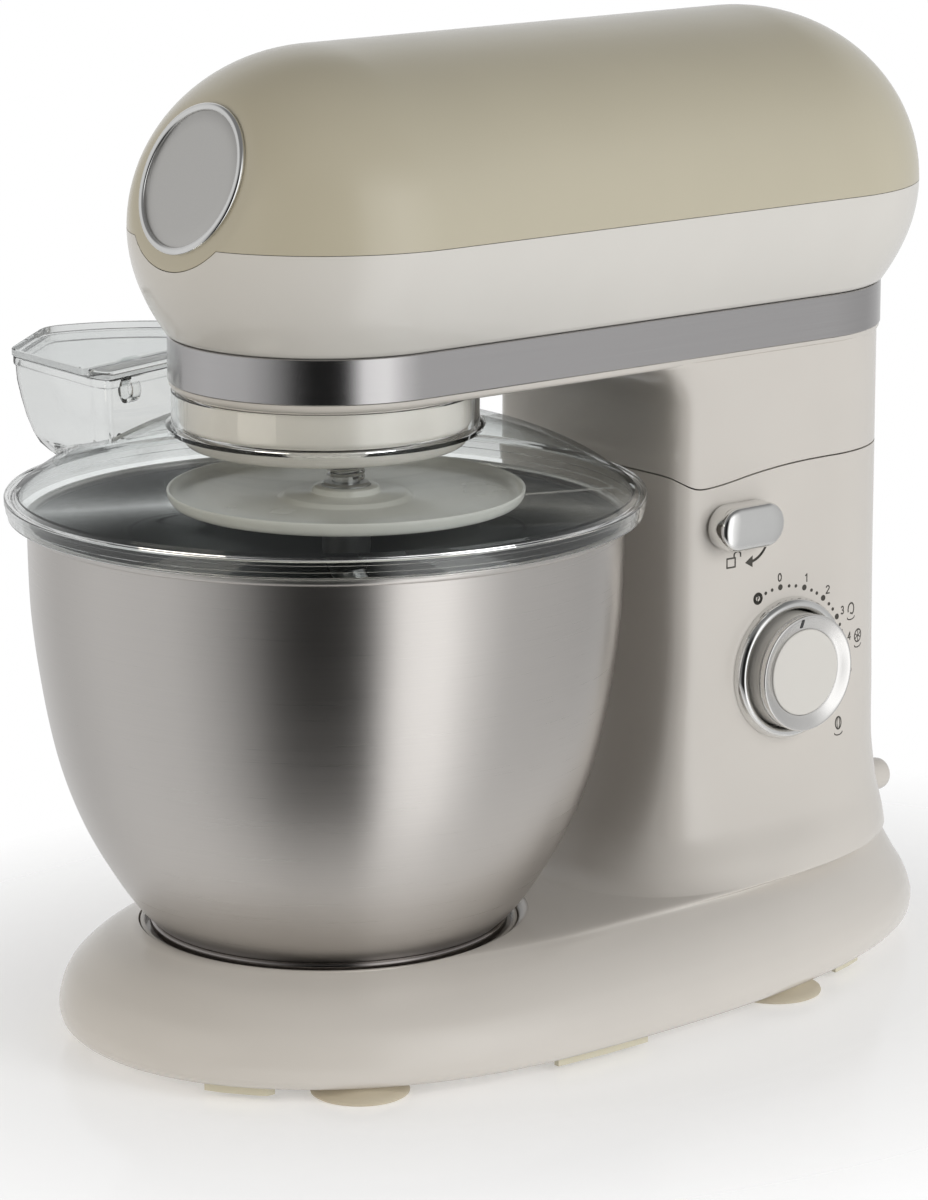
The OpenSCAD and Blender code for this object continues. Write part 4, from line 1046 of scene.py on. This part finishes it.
dome = smooth_profile([(118, 208.6), (112, 213.6), (100, 221.2), (85, 227.8), (70, 232.4), (60, 235.2)], 6)
shell = [(0.001, 201.8), (119.2, 201.8), (119.2, 204.3), (119.4, 204.5), (120.0, 204.5), (120.0, 206.9),
         (120.2, 207.1), (120.5, 207.1), (120.5, 209.2), (120.1, 209.7), (119.0, 209.6)]
shell += dome + [(57.7, 236.4), (57.7, 248.2), (57.3, 248.6), (0.001, 248.6)]
lid = piece("guard_shell", *lathe(shell, 180), "clear_wall", "guard", "clear_plastic", ["splash_guard"])
rim_top = [(0.0, 247.6), (0.1, 248.2), (0.8, 248.7), (1.0, 249.2), (1.0, 251.3), (0.8, 251.6)]
carve(lid, solid(*funnel(0.0, rim_top)), "UNION")
hollow = [(0.001, 190), (116, 190), (116, 207.6)] + [(r - 0.9, z - 1.9) for r, z in dome if r < 117]
hollow += [(55.6, 234.2), (55.6, 260), (0.001, 260)]
carve(lid, solid(*lathe(hollow, 180)))
carve(lid, solid(*funnel(2.0, [(0.0, 246.6), (0.0, 262)])))
finish_piece(lid, "clear_wall", None, sharp=30)
lid.data.materials.append(M["clear_plastic"])
for poly in lid.data.polygons:
    c = poly.center
    along = Vector((-c.y, c.x, 0)).normalized()
    in_dome_ring = 0.059 < math.hypot(c.x, c.y) < 0.1165 and c.z < 0.238
    as_dome_lies = abs(poly.normal.z) > 0.75 and abs(poly.normal.dot(along)) < 0.05
    poly.material_index = 1 if in_dome_ring and as_dome_lies else 0

CHUTE_FRAME = Matrix.Rotation(CHUTE_A, 4, "Z")


def plate(name, points, corners, node_args):
    """A clear plate over the chute with eased edges; its flat faces are thin to look through."""
    rows = []
    for t, z in ((-0.5, 0.25), (0, 0.6), (0, 2.9), (-0.4, 3.3)):
        pts = rounded(grown(points, t), [max(0.5, c + t) for c in corners], 6)
        rows.append([CHUTE_FRAME @ Vector((u, v, CHUTE_Z + z)) for u, v in pts])
    o = piece(name, *loft(rows), "clear_plastic", *node_args, sharp=12)
    o.data.materials.append(M["clear_wall"])
    for poly in o.data.polygons:
        poly.material_index = 0 if poly.area > 5e-4 else 1


lid_pts = [(75.9, 49.8), (126, 34), (147.3, -11), (137, -30), (121.5, -46.2), (96.2, -57.2), (75.9, -57.2)]
plate("chute_lid", lid_pts, [2, 4, 8, 16, 16, 14, 2], ("flap", "clear_plastic", ["chute_flap"]))
deck_pts = [(61.9, 51.7), (70, 52), (72.6, 51.2), (72.6, -57.2), (61.9, -57.2)]
plate("chute_deck", deck_pts, [3.5, 5, 1, 1, 2], ("guard", "clear_plastic", []))

# A C-shaped clip stands at the chute's near side, under the deck.
CLIP_U, CLIP_Z, CLIP_STEPS, CLIP_HALF_WALL = 61.2, 247.2, 24, 0.75
CLIP_V0, CLIP_V1 = 38.6, 43.4
turns = [math.radians(70 - 290 * i / CLIP_STEPS) for i in range(CLIP_STEPS + 1)]
clip = [Vector((CLIP_U + 3.4 * cos(a), 0, CLIP_Z + 4.3 * sin(a))) for a in turns]
rows = []
for k, c in enumerate(clip):
    t = (clip[min(k + 1, CLIP_STEPS)] - clip[max(k - 1, 0)]).normalized()
    n = Vector((-t.z, 0, t.x)) * CLIP_HALF_WALL
    corners = ((-1, CLIP_V0), (1, CLIP_V0), (1, CLIP_V1), (-1, CLIP_V1))
    rows.append([CHUTE_FRAME @ (c + n * side + Vector((0, v, 0))) for side, v in corners])
piece("chute_clip", *loft(rows), "clear_wall", "guard", "clear_plastic")

HINGE_U = 74.6
knuckles = []
for v0 in (-30, 20):
    at = CHUTE_FRAME @ Matrix.Translation((HINGE_U, v0, CHUTE_Z + 2.4)) @ Matrix.Rotation(-pi / 2, 4, "X")
    knuckles.append(lathe([(0.001, 0), (1.2, 0), (1.6, 0.4), (1.6, 7.6), (1.2, 8), (0.001, 8)], 24, axis=at))
    arm = [(HINGE_U + 0.2, v0 + 0.4), (HINGE_U + 5, v0 + 0.4), (HINGE_U + 5, v0 + 7.6), (HINGE_U + 0.2, v0 + 7.6)]
    knuckles.append(prism(arm, CHUTE_Z + 1.2, CHUTE_Z + 2.0, CHUTE_FRAME))
piece("chute_knuckles", *joined(*knuckles), "clear_plastic", "flap")

# ---------- the CAD nodes that stay get their finish ----------

SLOT_OF = {s["node"]: s["material_slot"] for s in frame["record"]["subparts"]}
for node, o in frame["nodes"].items():
    mat = M.get(SLOT_OF.get(node, ""))
    if mat:
        for s in o.material_slots:
            s.material = mat

# ---------- floor ----------

# The floor fades out in an oval round the mixer, so that the bowl and the band don't mirror a wide bright floor.
FLOOR_GLOW, FADE_FROM, FADE_TO = 0.26, 0.95, 1.9
me = bpy.data.meshes.new("floor")
me.from_pydata([(-3, -3, 0), (3, -3, 0), (3, 3, 0), (-3, 3, 0)], [], [(0, 1, 2, 3)])
floor = bpy.data.objects.new("floor", me)
bpy.context.scene.collection.objects.link(floor)
fmat, fnt, fp = shader("floor_white")
fnt.links.new(ramped(fnt, noise(fnt, 3), (0.90, 0.90, 0.90), (0.92, 0.92, 0.92)), fp.inputs["Base Color"])
fp.inputs["Roughness"].default_value = 0.12
fp.inputs["IOR"].default_value = 1.25
fp.inputs["Emission Color"].default_value = (1, 1, 1, 1)
fp.inputs["Emission Strength"].default_value = FLOOR_GLOW
far = fnt.nodes.new("ShaderNodeVectorMath")
far.operation = "DISTANCE"
far.inputs[1].default_value = (0, 0.45, 0)
fnt.links.new(coords(fnt, (6.5, 5, 1)), far.inputs[0])
gone = fnt.nodes.new("ShaderNodeBsdfTransparent")
edge = fnt.nodes.new("ShaderNodeMixShader")
fnt.links.new(ranged(fnt, far.outputs["Value"], 0, 1, FADE_FROM, FADE_TO), edge.inputs["Fac"])
fnt.links.new(fp.outputs["BSDF"], edge.inputs[1])
fnt.links.new(gone.outputs["BSDF"], edge.inputs[2])
fnt.links.new(edge.outputs["Shader"], fnt.nodes["Material Output"].inputs["Surface"])
me.materials.append(fmat)
